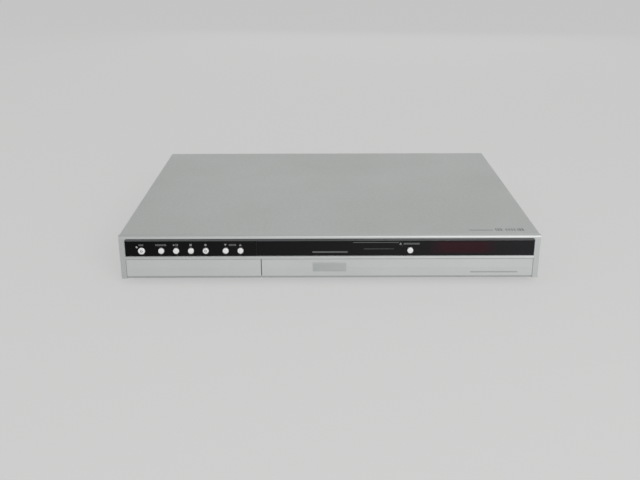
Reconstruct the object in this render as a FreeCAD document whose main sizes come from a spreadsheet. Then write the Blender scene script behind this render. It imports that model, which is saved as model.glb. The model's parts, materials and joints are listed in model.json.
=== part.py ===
"""A slim disc recorder: flat steel case, moulded front with a black window, and the tray loader inside.

Two frames are used. The case frame has x across, y back from the front face and z up from the underside
of the chassis. The lift frame has its origin on the pivot of the traverse, level when the traverse is up.
"""

import FreeCAD
import Part
import math
import os
import re

import Sketcher

Vector = FreeCAD.Vector

SIZES = [
    ("case_width", 430, "overall width"),
    ("case_depth", 330, "front face to the back of the rear panel"),
    ("front_height", 47, "height of the front face"),
    ("foot_height", 7, "height of the feet"),
    ("foot_radius", 13, "radius of a foot at the chassis"),
    ("foot_taper", 2, "what a foot loses in radius towards the floor"),
    ("foot_side_inset", 42, "foot centre from the side of the case"),
    ("foot_front_inset", 42, "foot centre from the front face"),
    ("foot_back_inset", 38, "foot centre from the rear panel"),
    ("jack_reach", 8, "how far the rear jacks stand out of the rear panel"),
    ("cover_wall", 0.8, "sheet of the top cover"),
    ("cover_bend", 1.6, "outer bend radius of the top cover"),
    ("cover_lift", 0.8, "lower edge of the cover above the underside of the chassis"),
    ("pan_wall", 1.0, "sheet of the chassis"),
    ("pan_flange", 14, "height of the chassis flanges"),
    ("panel_wall", 1.0, "sheet of the rear panel"),
    ("seat_gap", 0.2, "clearance between fixed pieces"),
    ("run_gap", 0.3, "clearance between moving pieces"),
    ("bezel_depth", 18, "depth of the front moulding"),
    ("bezel_wall", 2.0, "wall of the front moulding"),
    ("bezel_lip", 4.0, "depth of the front moulding that shows ahead of the cover"),
    ("bezel_round", 2.2, "round along the upper front edge"),
    ("end_strip", 5.6, "width of the silver strip at each end of the window"),
    ("trim_height", 21.5, "height of the lower silver band"),
    ("trim_wall", 3.4, "thickness of the flap and of the lower trim"),
    ("trim_bevel", 2.4, "height of the bevel under the flap and the lower trim"),
    ("trim_bevel_depth", 1.2, "how far that bevel runs back"),
    ("trim_split", -70.2, "where the flap ends and the lower trim starts"),
    ("trim_inset", 0.3, "face of the flap and the lower trim behind the front face"),
    ("pad_half", 17.5, "half width of the plain raised pad on the lower trim"),
    ("pad_low", 7.3, "lower edge of that pad"),
    ("pad_high", 17.5, "upper edge of that pad"),
    ("pad_rise", 0.25, "how far that pad stands out"),
    ("ledge_height", 2.8, "height of the bright ledge under the window"),
    ("top_strip", 3.6, "height of the silver strip above the window"),
    ("window_wall", 2.4, "thickness of the window"),
    ("window_inset", 1.2, "window face behind the front face"),
    ("window_bevel", 2.7, "height of the bevel along the top of the window"),
    ("window_bevel_depth", 1.3, "how far that bevel runs back"),
    ("door_half", 74.6, "half width of the tray door"),
    ("button_radius", 3.65, "radius of a front button"),
    ("button_flange", 4.6, "radius of the flange behind a button"),
    ("button_flange_wall", 1.0, "thickness of that flange"),
    ("button_stem", 1.6, "radius of a button stem"),
    ("button_proud", 1.0, "how far a button stands out of the window"),
    ("button_travel", 0.6, "how far a button goes in"),
    ("button_height", 30.1, "height of the buttons above the underside"),
    ("power_inset", 22.4, "power button from the side of the case"),
    ("up_gap", 16.6, "channel up button from the tray door"),
    ("source_share", 0.1992,
     "source button, as a share of the way from the power button to the channel up button"),
    ("play_share", 0.3491, "play button, as such a share"),
    ("stop_share", 0.499, "stop button, as such a share"),
    ("record_share", 0.6489, "record button, as such a share"),
    ("down_share", 0.8501, "channel down button, as such a share"),
    ("eject_gap", 8.1, "eject button from the tray door"),
    ("lamp_offset", 4.8, "standby lamp to the left of the power button"),
    ("lamp_rise", 4.1, "standby lamp above the power button"),
    ("lamp_radius", 1.0, "radius of the standby lamp"),
    ("sensor_inset", 25, "remote control sensor from the side of the case"),
    ("sensor_rise", 3, "remote control sensor above the buttons"),
    ("sensor_radius", 2.6, "radius of the remote control sensor"),
    ("display_gap", 17.3, "display from the eject button"),
    ("display_end_gap", 18, "display from the remote control sensor"),
    ("display_margin", 1.8, "display below the top of the window and above its foot"),
    ("display_depth", 5.6, "thickness of the display"),
    ("board_wall", 1.6, "thickness of a circuit board"),
    ("switch_side", 6.0, "side of a push switch"),
    ("switch_depth", 4.3, "depth of a push switch without its plunger"),
    ("switch_plunger", 0.7, "how far the plunger of a switch stands out"),
    ("bay_depth", 15, "front face to the floor of the jack bay"),
    ("bay_low", 3.4, "floor of the jack bay above the underside"),
    ("bay_wall", 1.5, "wall of the jack bay"),
    ("flap_pivot_depth", 2.3, "flap hinge behind the front face"),
    ("flap_pivot_height", 2.1, "flap hinge above the underside"),
    ("flap_pin", 0.8, "radius of the flap hinge pins"),
    ("flap_pin_reach", 1.6, "how far a flap hinge pin reaches into its hole"),
    ("front_rca_inset", 17.4, "first phono socket behind the flap, from the end of the bay"),
    ("front_rca_pitch", 18, "pitch of the phono sockets behind the flap"),
    ("front_jack_height", 11.6, "middle of the front sockets above the underside"),
    ("digital_inset", 31.8, "digital input behind the flap, from the other end of the bay"),
]
SIZES += [
    ("disc_recess", 60.75, "radius of the disc recess in the tray"),
    ("small_recess", 40.6, "radius of the inner recess for small discs"),
    ("recess_drop", 1.8, "depth of the disc recess"),
    ("small_drop", 0.8, "further depth of the inner recess"),
    ("tray_half", 68, "half width of the disc tray"),
    ("tray_margin", 7.0, "tray ahead of the disc recess"),
    ("tray_floor", 28.0, "underside of the tray above the underside of the chassis"),
    ("tray_wall", 4.0, "thickness of the tray deck"),
    ("tray_held", 34, "length of the tray that stays in the loader when it is out"),
    ("tray_travel", 138, "how far the tray comes out"),
    ("tray_slot", 22, "half width of the opening in the tray"),
    ("tray_rim", 1.4, "height of the raised rim at the sides of the tray"),
    ("rail_depth", 1.5, "how far the side rails hang below the tray"),
    ("drive_front", 18.5, "front of the loader behind the front face"),
    ("drive_length", 180, "length of the loader case"),
    ("drive_half", 74, "half width of the loader case"),
    ("drive_floor", 2.5, "underside of the loader case"),
    ("drive_boss", 4.5, "radius of the bosses that hold the loader"),
    ("drive_boss_inset", 14, "those bosses from the ends of the loader"),
    ("drive_wall", 0.8, "sheet of the loader case"),
    ("frame_half", 71.5, "half width of the loader frame"),
    ("frame_wall", 2.5, "side wall of the loader frame"),
    ("frame_top", 34.5, "top of the loader frame"),
    ("frame_floor", 2.7, "thickness of the floor of the loader frame"),
    ("guide_depth", 5.0, "how far the tray guides reach in from the frame wall"),
    ("gear_x", -48, "axle of the drive gear"),
    ("gear_y", 32.9, "axles of the gears behind the front face"),
    ("rack_module", 1.5, "module of the tray rack"),
    ("rack_teeth_wheel", 12, "teeth of the drive gear on the rack"),
    ("train_module", 1.0, "module of the gear train"),
    ("train_teeth_wheel", 18, "teeth of the drive gear on the pinion"),
    ("pinion_teeth", 10, "teeth of the pinion"),
    ("tooth_share", 0.40, "thickness of a tooth as a share of its pitch"),
    ("axle_radius", 1.8, "radius of the gear axles"),
    ("pulley_radius", 9.2, "radius of the large pulley in its groove"),
    ("motor_pulley_radius", 3.2, "radius of the motor pulley in its groove"),
    ("pulley_x", 34, "axle of the loading motor"),
    ("belt_side", 1.2, "side of the square drive belt"),
    ("motor_radius", 9.8, "radius of the loading motor"),
    ("slider_margin", 8, "cam slider beyond each end of its groove"),
    ("slider_wall", 3.0, "thickness of the cam slider"),
    ("slider_travel", 22, "how far the cam slider moves"),
    ("lift_height", 7, "how far the spindle rises"),
    ("lift_pivot_reach", 112.65, "spindle to the pivot of the traverse"),
    ("lift_pivot_height", 19, "pivot of the traverse above the underside"),
    ("traverse_half", 45, "half width of the traverse"),
    ("traverse_front", 22, "traverse ahead of the spindle"),
    ("traverse_wall", 6, "height of the traverse rails"),
    ("pin_radius", 1.5, "radius of the lift pin"),
    ("trunnion_radius", 2.4, "radius of the traverse trunnions"),
    ("damper_radius", 4.4, "radius of the rubber dampers"),
    ("seat_height", 31.4, "disc seat of the turntable when the traverse is up"),
    ("turntable_radius", 15.5, "radius of the turntable"),
    ("hub_radius", 7.35, "radius of the hub in the disc hole"),
    ("spindle_motor_radius", 13, "radius of the spindle motor"),
    ("disc_wall", 1.2, "thickness of a disc"),
    ("clamper_radius", 16, "radius of the clamper"),
    ("bridge_half", 20, "half length of the clamper bridge along the tray"),
    ("sled_inner", 24, "lens at its innermost, from the spindle"),
    ("sled_travel", 34, "how far the pickup moves"),
    ("sled_end_gap", 12, "opening of the tray past the lens at its outermost"),
    ("sled_half_width", 23, "half width of the pickup"),
    ("sled_half_length", 17, "half length of the pickup"),
    ("rod_radius", 1.5, "radius of the guide rods"),
    ("rod_offset", 29, "guide rods from the middle of the traverse"),
    ("screw_radius", 1.6, "radius of the lead screw"),
    ("screw_offset", 35.5, "lead screw from the middle of the traverse"),
    ("lens_radius", 3.2, "radius of the objective lens"),
    ("bridge_wall", 1.8, "thickness of the clamper bridge"),
    ("bridge_rise", 2.2, "clamper bridge above the loader frame"),
    ("flange_rise", 1.6, "top of the clamper above its bridge"),
    ("board_lift", 7, "underside of the boards above the underside of the chassis"),
    ("post_inset", 7, "posts from the edges of a board"),
    ("board_post", 3, "radius of the board posts"),
    ("board_side_gap", 8.2, "inner boards from the flanges of the chassis"),
    ("power_drive_gap", 23, "power board from the loader case"),
    ("power_panel_gap", 23, "power board from the rear panel"),
    ("power_front", 110, "front edge of the power board"),
    ("av_gap", 23.5, "signal board behind the loader"),
    ("logic_drive_gap", 12, "disc board from the loader case"),
    ("logic_gap", 27, "disc board ahead of the signal board"),
    ("logic_front", 36, "front edge of the disc board"),
    ("core_half", 18, "half width of the transformer core"),
    ("core_height", 27, "height of the transformer and of the heat sink"),
    ("core_limb", 5, "limb of the transformer core"),
    ("core_window", 8, "window of the transformer core"),
    ("sink_half", 32, "half width of the heat sink"),
    ("sink_depth", 14, "depth of the heat sink with its fins"),
    ("sink_fins", 8, "number of fins"),
    ("fin_wall", 1.8, "thickness of a fin"),
    ("rca_radius", 4.15, "radius of the sleeve of a phono socket"),
    ("rca_body", 5.6, "depth of the body of a phono socket"),
    ("rca_floor", 1, "what is left behind the hole in a phono socket"),
    ("rca_bore", 1.6, "radius of the hole in a phono socket"),
    ("rca_reach", 7.6, "how far the sleeve of a phono socket stands out"),
    ("rca_gap", 1.2, "gap between the bodies of the phono sockets, row over row"),
    ("rca_headroom", 7.5, "highest row of phono sockets below the cover"),
    ("rca_svideo_gap", 88, "first column of phono sockets to the video sockets"),
    ("svideo_optical_gap", 24, "video sockets to the optical output"),
    ("optical_tuner_gap", 26, "optical output to the tuner"),
    ("tuner_inset", 72, "left side of the tuner from the end of the signal board"),
    ("tuner_setback", 32, "tuner behind the front edge of the signal board"),
    ("rca_pitch_x", 21, "pitch of the columns"),
    ("rca_low", 14.3, "lowest row of rear phono sockets"),
    ("svideo_radius", 5.0, "radius of a video socket"),
    ("tuner_width", 64, "width of the tuner"),
    ("tuner_height", 22, "height of the tuner"),
    ("antenna_radius", 4.7, "radius of an aerial socket"),
    ("antenna_pitch", 24, "pitch of the aerial sockets"),
    ("inlet_inset", 31, "mains inlet from the side of the case"),
    ("inlet_height", 22, "middle of the mains inlet above the underside"),
    ("inlet_half", 11.5, "half width of the mains inlet"),
    ("inlet_tall", 8.5, "half height of the mains inlet"),
    ("inlet_rim", 2.5, "rim of the mains inlet past its sides"),
    ("inlet_proud", 1.6, "how far the mains inlet stands out"),
    ("inlet_body", 16, "depth of the mains inlet ahead of the rear panel"),
    ("inlet_mouth", 12, "depth of its mouth"),
    ("inlet_lobe", 4.3, "each round end of the mouth from its middle"),
    ("inlet_lobe_radius", 4.1, "radius of those ends"),
    ("inlet_waist", 3.3, "half height of the mouth between them"),
    ("inlet_pin", 1.2, "radius of its pins"),
    ("fan_inlet_gap", 60, "mains inlet to the middle of the fan"),
    ("fan_rise", 3, "fan above the floor of the chassis"),
    ("fan_headroom", 2.2, "fan below the top cover"),
    ("fan_rim", 1.4, "least wall of the fan frame"),
    ("fan_depth", 10.5, "depth of the fan"),
    ("fan_hub", 9, "radius of the fan hub"),
    ("fan_pin", 1.2, "radius of the pin that the rotor turns on"),
    ("fan_spoke", 1.5, "half width of a spoke of the fan frame"),
    ("fan_spoke_wall", 1.4, "thickness of those spokes"),
    ("fan_blade_wall", 1.1, "thickness of a fan blade"),
    ("fan_blade_pitch", 32, "pitch of a fan blade in degrees"),
    ("fan_blades", 7, "number of fan blades"),
    ("socket_clear", 0.9, "clearance round the phono and aerial sockets in the rear panel"),
    ("grille_web", 1.2, "half width of the webs across the fan grille"),
    ("grille_share", 0.667, "reach of the fan grille as a share of the air path's radius"),
    ("grille_slots", 3, "slots in each quarter of the fan grille"),
    ("cover_slots", 13, "slots in each side of the cover"),
    ("cover_slot_pitch", 8, "pitch of those slots"),
    ("cover_slot_width", 2.4, "width of those slots"),
    ("cover_slot_low", 20, "lower end of those slots"),
    ("cover_slot_high", 36, "upper end of those slots"),
    ("cover_slot_reach", 150, "first of those slots ahead of the back"),
    ("floor_slots", 8, "slots in the chassis floor"),
    ("floor_slot_pitch", 8, "pitch of those slots"),
    ("floor_slot_width", 2.6, "width of those slots"),
    ("floor_slot_length", 30, "length of those slots"),
    ("floor_slot_inset", 36, "those slots from the side of the chassis"),
    ("floor_slot_reach", 109, "first of those slots ahead of the rear panel"),
    ("screw_head", 3.2, "radius of a screw head"),
    ("screw_rise", 1.4, "height of a screw head"),
]

PLACES = [
    ("front_y", "-(case_depth + jack_reach) / 2"),
    ("half_width", "case_width / 2"),
    ("window_back", "window_inset + window_wall"),
    ("window_low", "trim_height + ledge_height + seat_gap"),
    ("window_high", "front_height - top_strip"),
    ("power_x", "power_inset - half_width"),
    ("up_x", "-door_half - up_gap"),
    ("source_x", "power_x + (up_x - power_x) * source_share"),
    ("play_x", "power_x + (up_x - power_x) * play_share"),
    ("stop_x", "power_x + (up_x - power_x) * stop_share"),
    ("record_x", "power_x + (up_x - power_x) * record_share"),
    ("down_x", "power_x + (up_x - power_x) * down_share"),
    ("eject_x", "door_half + eject_gap"),
    ("lamp_x", "power_x - lamp_offset"),
    ("lamp_height", "button_height + lamp_rise"),
    ("sensor_x", "half_width - sensor_inset"),
    ("sensor_height", "button_height + sensor_rise"),
    ("display_left", "eject_x + display_gap"),
    ("display_right", "sensor_x - display_end_gap"),
    ("display_low", "window_low + display_margin"),
    ("display_high", "window_high - display_margin"),
    ("window_half", "half_width - end_strip - seat_gap"),
    ("trim_back", "trim_inset + trim_wall"),
    ("plate_back", "window_back + bezel_wall + 0.4 * bezel_wall"),
    ("inner_top", "front_height - cover_wall"),
    ("board_front", "plate_back + 7"),
    ("stem_end", "board_front - switch_depth - switch_plunger - run_gap - button_travel"),
    ("pan_half", "half_width - cover_wall"),
    ("pan_front", "bezel_depth + seat_gap"),
    ("panel_front", "case_depth - panel_wall"),
    ("tray_front", "window_back"),
    ("tray_length", "tray_travel + tray_held"),
    ("tray_slot_reach", "sled_inner + sled_travel + sled_end_gap"),
    ("spindle_y", "tray_front + tray_margin + disc_recess"),
    ("tray_deck", "tray_floor + tray_wall"),
    ("pivot_y", "spindle_y + lift_pivot_reach"),
    ("lift_angle", "asin(lift_height / lift_pivot_reach)"),
    ("case_floor", "drive_floor + drive_wall"),
    ("frame_deck", "case_floor + frame_floor"),
    ("frame_front", "drive_front + 1"),
    ("frame_back", "pivot_y + 9"),
    ("rack_pitch_radius", "rack_module * rack_teeth_wheel / 2"),
    ("train_pitch_radius", "train_module * train_teeth_wheel / 2"),
    ("pinion_pitch_radius", "train_module * pinion_teeth / 2"),
    ("pinion_x", "gear_x + train_pitch_radius + pinion_pitch_radius"),
    ("slider_front", "spindle_y - traverse_front - 2 - slider_wall"),
    ("rack_high", "tray_floor - run_gap"),
    ("rack_low", "tray_floor - rail_depth - run_gap - 0.9"),
    ("train_high", "rack_low - 1"),
    ("train_low", "train_high - 3.4"),
    ("pulley_high", "train_low - 0.6"),
    ("pulley_low", "pulley_high - 2.8"),
    ("pin_high", "lift_pivot_height"),
    ("pin_low",
     "lift_pivot_height - (lift_pivot_reach + traverse_front + 2 + slider_wall / 2) * sin(lift_angle)"),
    ("board_top", "board_lift + board_wall"),
    ("drive_back", "drive_front + drive_length + drive_wall + 0.1"),
    ("av_left", "-drive_half - 4"),
    ("av_right", "pan_half - pan_wall - board_side_gap - 1"),
    ("av_width", "av_right - av_left"),
    ("av_front", "drive_back + av_gap"),
    ("av_length", "panel_front - 2 - av_front"),
    ("power_left", "-pan_half + pan_wall + board_side_gap"),
    ("power_width", "-drive_half - power_drive_gap - power_left"),
    ("power_length", "panel_front - power_panel_gap - power_front"),
    ("logic_left", "drive_half + logic_drive_gap"),
    ("logic_width", "av_right - logic_left"),
    ("logic_length", "av_front - logic_gap - logic_front"),
    ("rca_pitch_z", "(inner_top - rca_headroom - rca_low) / 2"),
    ("rca_block", "rca_pitch_z - rca_gap"),
    ("tuner_left", "av_right - tuner_inset"),
    ("tuner_length", "av_length - tuner_setback"),
    ("optical_x", "tuner_left - optical_tuner_gap"),
    ("svideo_x", "optical_x - svideo_optical_gap"),
    ("rca_left", "svideo_x - rca_svideo_gap"),
    ("inlet_x", "inlet_inset - half_width"),
    ("fan_x", "inlet_x + fan_inlet_gap"),
    ("fan_side", "inner_top - pan_wall - fan_rise - fan_headroom"),
    ("fan_height", "pan_wall + fan_rise + fan_side / 2"),
    ("fan_bore", "fan_side / 2 - fan_rim"),
    ("bridge_low", "frame_top + bridge_rise"),
    ("clamper_top", "bridge_low + bridge_wall + flange_rise"),
    ("drive_top", "clamper_top + drive_wall + (inner_top - clamper_top - drive_wall) * 0.55"),
    ("motor_height", "pulley_low - frame_deck - 3.5"),
    ("bay_left", "-(half_width - end_strip) + 2"),
    ("bay_right", "trim_split - 2"),
    ("bay_high", "trim_height - bay_wall"),
    ("front_rca_x", "bay_left + front_rca_inset"),
    ("digital_in_x", "bay_right - digital_inset"),
]


WORD = re.compile(r"[a-z][a-z_]*[a-z]")
OWNER = {}
OWNER.update({name: "Sizes" for name, _, _ in SIZES})
OWNER.update({name: "Places" for name, _ in PLACES})

doc = FreeCAD.newDocument("disc_recorder")
sheet = doc.addObject("Spreadsheet::Sheet", "Sizes")
for row, (name, number, note) in enumerate(SIZES, start=1):
    sheet.set(f"A{row}", name)
    sheet.set(f"B{row}", str(number))
    sheet.setAlias(f"B{row}", name)
    sheet.set(f"C{row}", note)
places = doc.addObject("App::VarSet", "Places")


def bound(text):
    """Gives each name in an expression the object that owns it."""
    return WORD.sub(lambda word: f"{OWNER[word[0]]}.{word[0]}" if word[0] in OWNER else word[0], str(text))


for name, rule in PLACES:
    kind = "App::PropertyAngle" if name.endswith("_angle") else "App::PropertyFloat"
    places.addProperty(kind, name, "Places")
    places.setExpression(name, bound(rule))
doc.recompute()


def value(text):
    """The number that an expression gives now."""
    return float(getattr(places.evalExpression(bound(text)), "Value", places.evalExpression(bound(text))))


def bind(thing, **rules):
    """Ties properties to expressions, such as Length="case_width"."""
    for key, rule in rules.items():
        thing.setExpression(key, bound(rule))
    return thing


def seat(thing, x="0", y="0", z="0"):
    """Places an object at a point of the case frame."""
    thing.setExpression("Placement.Base.x", bound(x))
    thing.setExpression("Placement.Base.y", bound(f"front_y + ({y})"))
    thing.setExpression("Placement.Base.z", bound(f"foot_height + ({z})"))
    return thing


def hang(thing):
    """Places an object on the pivot of the traverse, turned down by the lift angle."""
    seat(thing, "0", "pivot_y", "lift_pivot_height")
    thing.setExpression("Placement.Rotation.Axis.x", "1")
    thing.setExpression("Placement.Rotation.Axis.y", "0")
    thing.setExpression("Placement.Rotation.Axis.z", "0")
    thing.setExpression("Placement.Rotation.Angle", bound("lift_angle"))
    return thing


def slab(x, y, z):
    """A block between two expressions along each axis."""
    block = doc.addObject("Part::Box", "Slab")
    for key, axis, (low, high) in (("Length", "x", x), ("Width", "y", y), ("Height", "z", z)):
        block.setExpression(key, bound(f"({high}) - ({low})"))
        block.setExpression(f"Placement.Base.{axis}", bound(low))
    return block


TURNS = {
    "x": FreeCAD.Rotation(Vector(0, 1, 0), 90),
    "y": FreeCAD.Rotation(Vector(1, 0, 0), -90),
    "z": FreeCAD.Rotation(),
}


def rod(axis, centre, radius, span):
    """A cylinder along an axis, round a centre given on the other two axes, between two expressions."""
    round_bar = doc.addObject("Part::Cylinder", "Rod")
    round_bar.Placement = FreeCAD.Placement(Vector(), TURNS[axis])
    across = iter(centre)
    for name in "xyz":
        rule = span[0] if name == axis else next(across)
        round_bar.setExpression(f"Placement.Base.{name}", bound(rule))
    bind(round_bar, Radius=radius, Height=f"({span[1]}) - ({span[0]})")
    return round_bar


def cone(centre, radii, span, axis="z"):
    """A cone along an axis, from its first radius to its second."""
    taper = doc.addObject("Part::Cone", "Taper")
    taper.Placement = FreeCAD.Placement(Vector(), TURNS[axis])
    across = iter(centre)
    for name in "xyz":
        rule = span[0] if name == axis else next(across)
        taper.setExpression(f"Placement.Base.{name}", bound(rule))
    bind(taper, Radius1=radii[0], Radius2=radii[1], Height=f"({span[1]}) - ({span[0]})")
    return taper


def joined(*pieces):
    """One solid from several that meet."""
    if len(pieces) == 1:
        return pieces[0]
    union = doc.addObject("Part::MultiFuse", "Joined")
    union.Shapes = list(pieces)
    union.Refine = True
    return union


def less(base, *tools):
    """A solid with others taken out of it."""
    rest = doc.addObject("Part::Cut", "Less")
    rest.Base = base
    rest.Tool = joined(*tools)
    return rest


def group(*pieces):
    """Separate solids held as one object."""
    several = doc.addObject("Part::Compound", "Group")
    several.Links = list(pieces)
    return several


def solid(shape):
    """An object that holds a shape worked out from the sizes in the sheet."""
    made = doc.addObject("Part::Feature", "Made")
    made.Shape = shape
    return made


NODES = []


def node(name, thing, placer=seat):
    """Names a finished sub-part and places it."""
    if thing.TypeId != "PartDesign::Body":
        held = doc.addObject("Part::Compound", "Node")
        held.Links = [thing] if thing.TypeId != "Part::Compound" else list(thing.Links)
        thing = held
    thing.Label = name
    placer(thing)
    NODES.append(thing)
    return thing


def plane_of(body, role):
    """The origin plane or axis of a body."""
    return next(item for item in body.Origin.OriginFeatures if item.Role == role)


DEPTH_SIGN = {"XZ_Plane": "-", "XY_Plane": "", "YZ_Plane": ""}


def sketch(body, role, outline=(), rounds=(), start="0"):
    """A sketch on an origin plane: an outline of corners, circles as (u, v, radius), or both."""
    drawing = body.newObject("Sketcher::SketchObject", "Sketch")
    drawing.AttachmentSupport = [(plane_of(body, role), "")]
    drawing.MapMode = "FlatFace"
    drawing.setExpression("AttachmentOffset.Base.z", bound(f"{DEPTH_SIGN[role]}({start})"))
    corners = [(value(u), value(v)) for u, v in outline]
    for number, (u, v) in enumerate(corners):
        after = corners[(number + 1) % len(corners)]
        drawing.addGeometry(Part.LineSegment(Vector(u, v, 0), Vector(after[0], after[1], 0)), False)
    for number in range(len(corners)):
        following = (number + 1) % len(corners)
        drawing.addConstraint(Sketcher.Constraint("Coincident", number, 2, following, 1))
    for number, (u, v) in enumerate(outline):
        fix_point(drawing, number, 1, u, v)
    for u, v, radius in rounds:
        number = drawing.addGeometry(Part.Circle(Vector(value(u), value(v), 0), Vector(0, 0, 1),
                                                 value(radius)), False)
        fix_point(drawing, number, 3, u, v)
        row = drawing.addConstraint(Sketcher.Constraint("Radius", number, value(radius)))
        drawing.setExpression(f"Constraints[{row}]", bound(radius))
    return drawing


def fix_point(drawing, number, end, u, v):
    """Ties a point of a sketch to two expressions."""
    for kind, rule in (("DistanceX", u), ("DistanceY", v)):
        row = drawing.addConstraint(Sketcher.Constraint(kind, -1, 1, number, end, value(rule)))
        drawing.setExpression(f"Constraints[{row}]", bound(rule))


def add(body, role, start, length, outline=(), rounds=()):
    """Adds a pad that runs up the axis from start."""
    feature = body.newObject("PartDesign::Pad", "Pad")
    feature.Profile = sketch(body, role, outline, rounds, start)
    feature.setExpression("Length", bound(length))
    feature.Reversed = role == "XZ_Plane"
    return feature


def take(body, role, start, length, outline=(), rounds=()):
    """Cuts a pocket that runs up the axis from start."""
    feature = body.newObject("PartDesign::Pocket", "Pocket")
    feature.Profile = sketch(body, role, outline, rounds, start)
    feature.setExpression("Length", bound(length))
    feature.Reversed = role != "XZ_Plane"
    return feature


def rectangle(u, v):
    """The corners of a rectangle between two expressions each way."""
    return ((u[0], v[0]), (u[1], v[0]), (u[1], v[1]), (u[0], v[1]))


def new_body(name):
    """An empty body to add to and take from."""
    return doc.addObject("PartDesign::Body", name)


def repeat(body, feature, axis, pitch, count):
    """Repeats a body's last feature along an axis of the body."""
    row = body.newObject("PartDesign::LinearPattern", "Row")
    row.Originals = [feature]
    row.Direction = (plane_of(body, axis), [""])
    row.Mode = "Spacing"
    row.setExpression("Offset", bound(pitch))
    row.setExpression("Occurrences", bound(count))
    body.Tip = row


def edges_along(shape, axis, **at):
    """Names of the straight edges along an axis that lie at given coordinates."""
    found = []
    for number, edge in enumerate(shape.Edges, start=1):
        first, last = edge.Vertexes[0].Point, edge.Vertexes[-1].Point
        run = last - first
        if run.Length < 1e-6 or abs(abs(getattr(run, axis)) - run.Length) > 1e-6:
            continue
        if all(abs(getattr(first, key) - where) < 1e-4 for key, where in at.items()):
            found.append(f"Edge{number}")
    return found


def rounded(body, radius, edges):
    """Rounds named edges of a body's last feature."""
    base = body.Tip
    feature = body.newObject("PartDesign::Fillet", "Round")
    feature.Base = (base, edges)
    feature.setExpression("Radius", bound(radius))
    return feature


FULL = ("-half_width", "half_width")
BUTTONS = ("power", "source", "play", "stop", "record", "down", "up", "eject")


def top_cover():
    """The bent steel cover: top and both sides, with a row of slots low on each side."""
    body = new_body("TopCover")
    add(body, "XZ_Plane", "bezel_lip + seat_gap", "case_depth - bezel_lip - seat_gap",
        rectangle(FULL, ("cover_lift", "front_height")))
    doc.recompute()
    rounded(body, "cover_bend", edges_along(body.Shape, "y", z=value("front_height")))
    inside = ("-half_width + cover_wall", "half_width - cover_wall")
    take(body, "XZ_Plane", "0", "case_depth + 1", rectangle(inside, ("-1", "inner_top")))
    slots = take(body, "YZ_Plane", "-half_width - 1", "case_width + 2",
                 rectangle(("case_depth - cover_slot_reach",
                            "case_depth - cover_slot_reach + cover_slot_width"),
                           ("cover_slot_low", "cover_slot_high")))
    repeat(body, slots, "Y_Axis", "cover_slot_pitch", "cover_slots")
    return node("top_cover", body)


def base_chassis():
    """The steel pan: floor, flanges, board posts, loader bosses and a field of floor slots."""
    body = new_body("BaseChassis")
    back = "panel_front - seat_gap"
    add(body, "XY_Plane", "0", "pan_flange", rectangle(("-pan_half", "pan_half"), ("pan_front", back)))
    inside = ("-pan_half + pan_wall", "pan_half - pan_wall")
    take(body, "XY_Plane", "pan_wall", "pan_flange",
         rectangle(inside, ("pan_front + pan_wall", f"{back} - pan_wall")))
    take(body, "XY_Plane", "pan_wall + 1", "pan_flange", rectangle(("-pan_half + 12", "pan_half - 12"),
         (f"{back} - pan_wall - 1", f"{back} + 1")))
    take(body, "XY_Plane", "pan_wall + 1", "pan_flange", rectangle(("bay_left - 2", "bay_right + 2"),
         ("pan_front - 1", "pan_front + pan_wall + 1")))
    take(body, "XY_Plane", "pan_wall + 1", "pan_flange", rectangle(("-frame_half - 8", "frame_half + 8"),
         ("pan_front - 1", "pan_front + pan_wall + 1")))
    bosses = [(f"{side} * (drive_half - drive_boss_inset + 2)", f"drive_front + {reach}", "drive_boss")
              for side in (-1, 1) for reach in ("drive_boss_inset", "drive_length - drive_boss_inset")]
    add(body, "XY_Plane", "0", "drive_floor", rounds=bosses)
    add(body, "XY_Plane", "0", "board_lift", rounds=board_posts())
    slots = take(body, "XY_Plane", "-1", "pan_wall + 2",
                 rectangle(("-pan_half + floor_slot_inset",
                            "-pan_half + floor_slot_inset + floor_slot_length"),
                           ("panel_front - floor_slot_reach",
                            "panel_front - floor_slot_reach + floor_slot_width")))
    repeat(body, slots, "Y_Axis", "floor_slot_pitch", "floor_slots")
    return node("base_chassis", body)


BOARDS = {
    "power": ("power_left", "power_width", "power_front", "power_length"),
    "av": ("av_left", "av_width", "av_front", "av_length"),
    "logic": ("logic_left", "logic_width", "logic_front", "logic_length"),
}


def board_posts():
    """The posts under the corners of the three inner boards, as circles on the chassis floor."""
    posts = []
    for left, width, front, length in BOARDS.values():
        for x in (f"{left} + post_inset", f"{left} + {width} - post_inset"):
            for y in (f"{front} + post_inset", f"{front} + {length} - post_inset"):
                posts.append((x, y, "board_post"))
    return posts


def rca_columns():
    """Columns and rows of the rear phono sockets."""
    return [(f"rca_left + {column} * rca_pitch_x", f"rca_low + {row} * rca_pitch_z")
            for column in range(4) for row in range(3)]


def antenna_spots():
    """Middles of the two aerial sockets."""
    middle = "tuner_left + tuner_width / 2"
    height = "board_top + tuner_height / 2"
    return [(f"{middle} + {side} * antenna_pitch / 2", height) for side in (-1, 1)]


def svideo_spots():
    """Middles of the two video sockets."""
    return [("svideo_x", "rca_low + 2"), ("svideo_x", "rca_low + 2 * rca_pitch_z - 2")]


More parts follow.
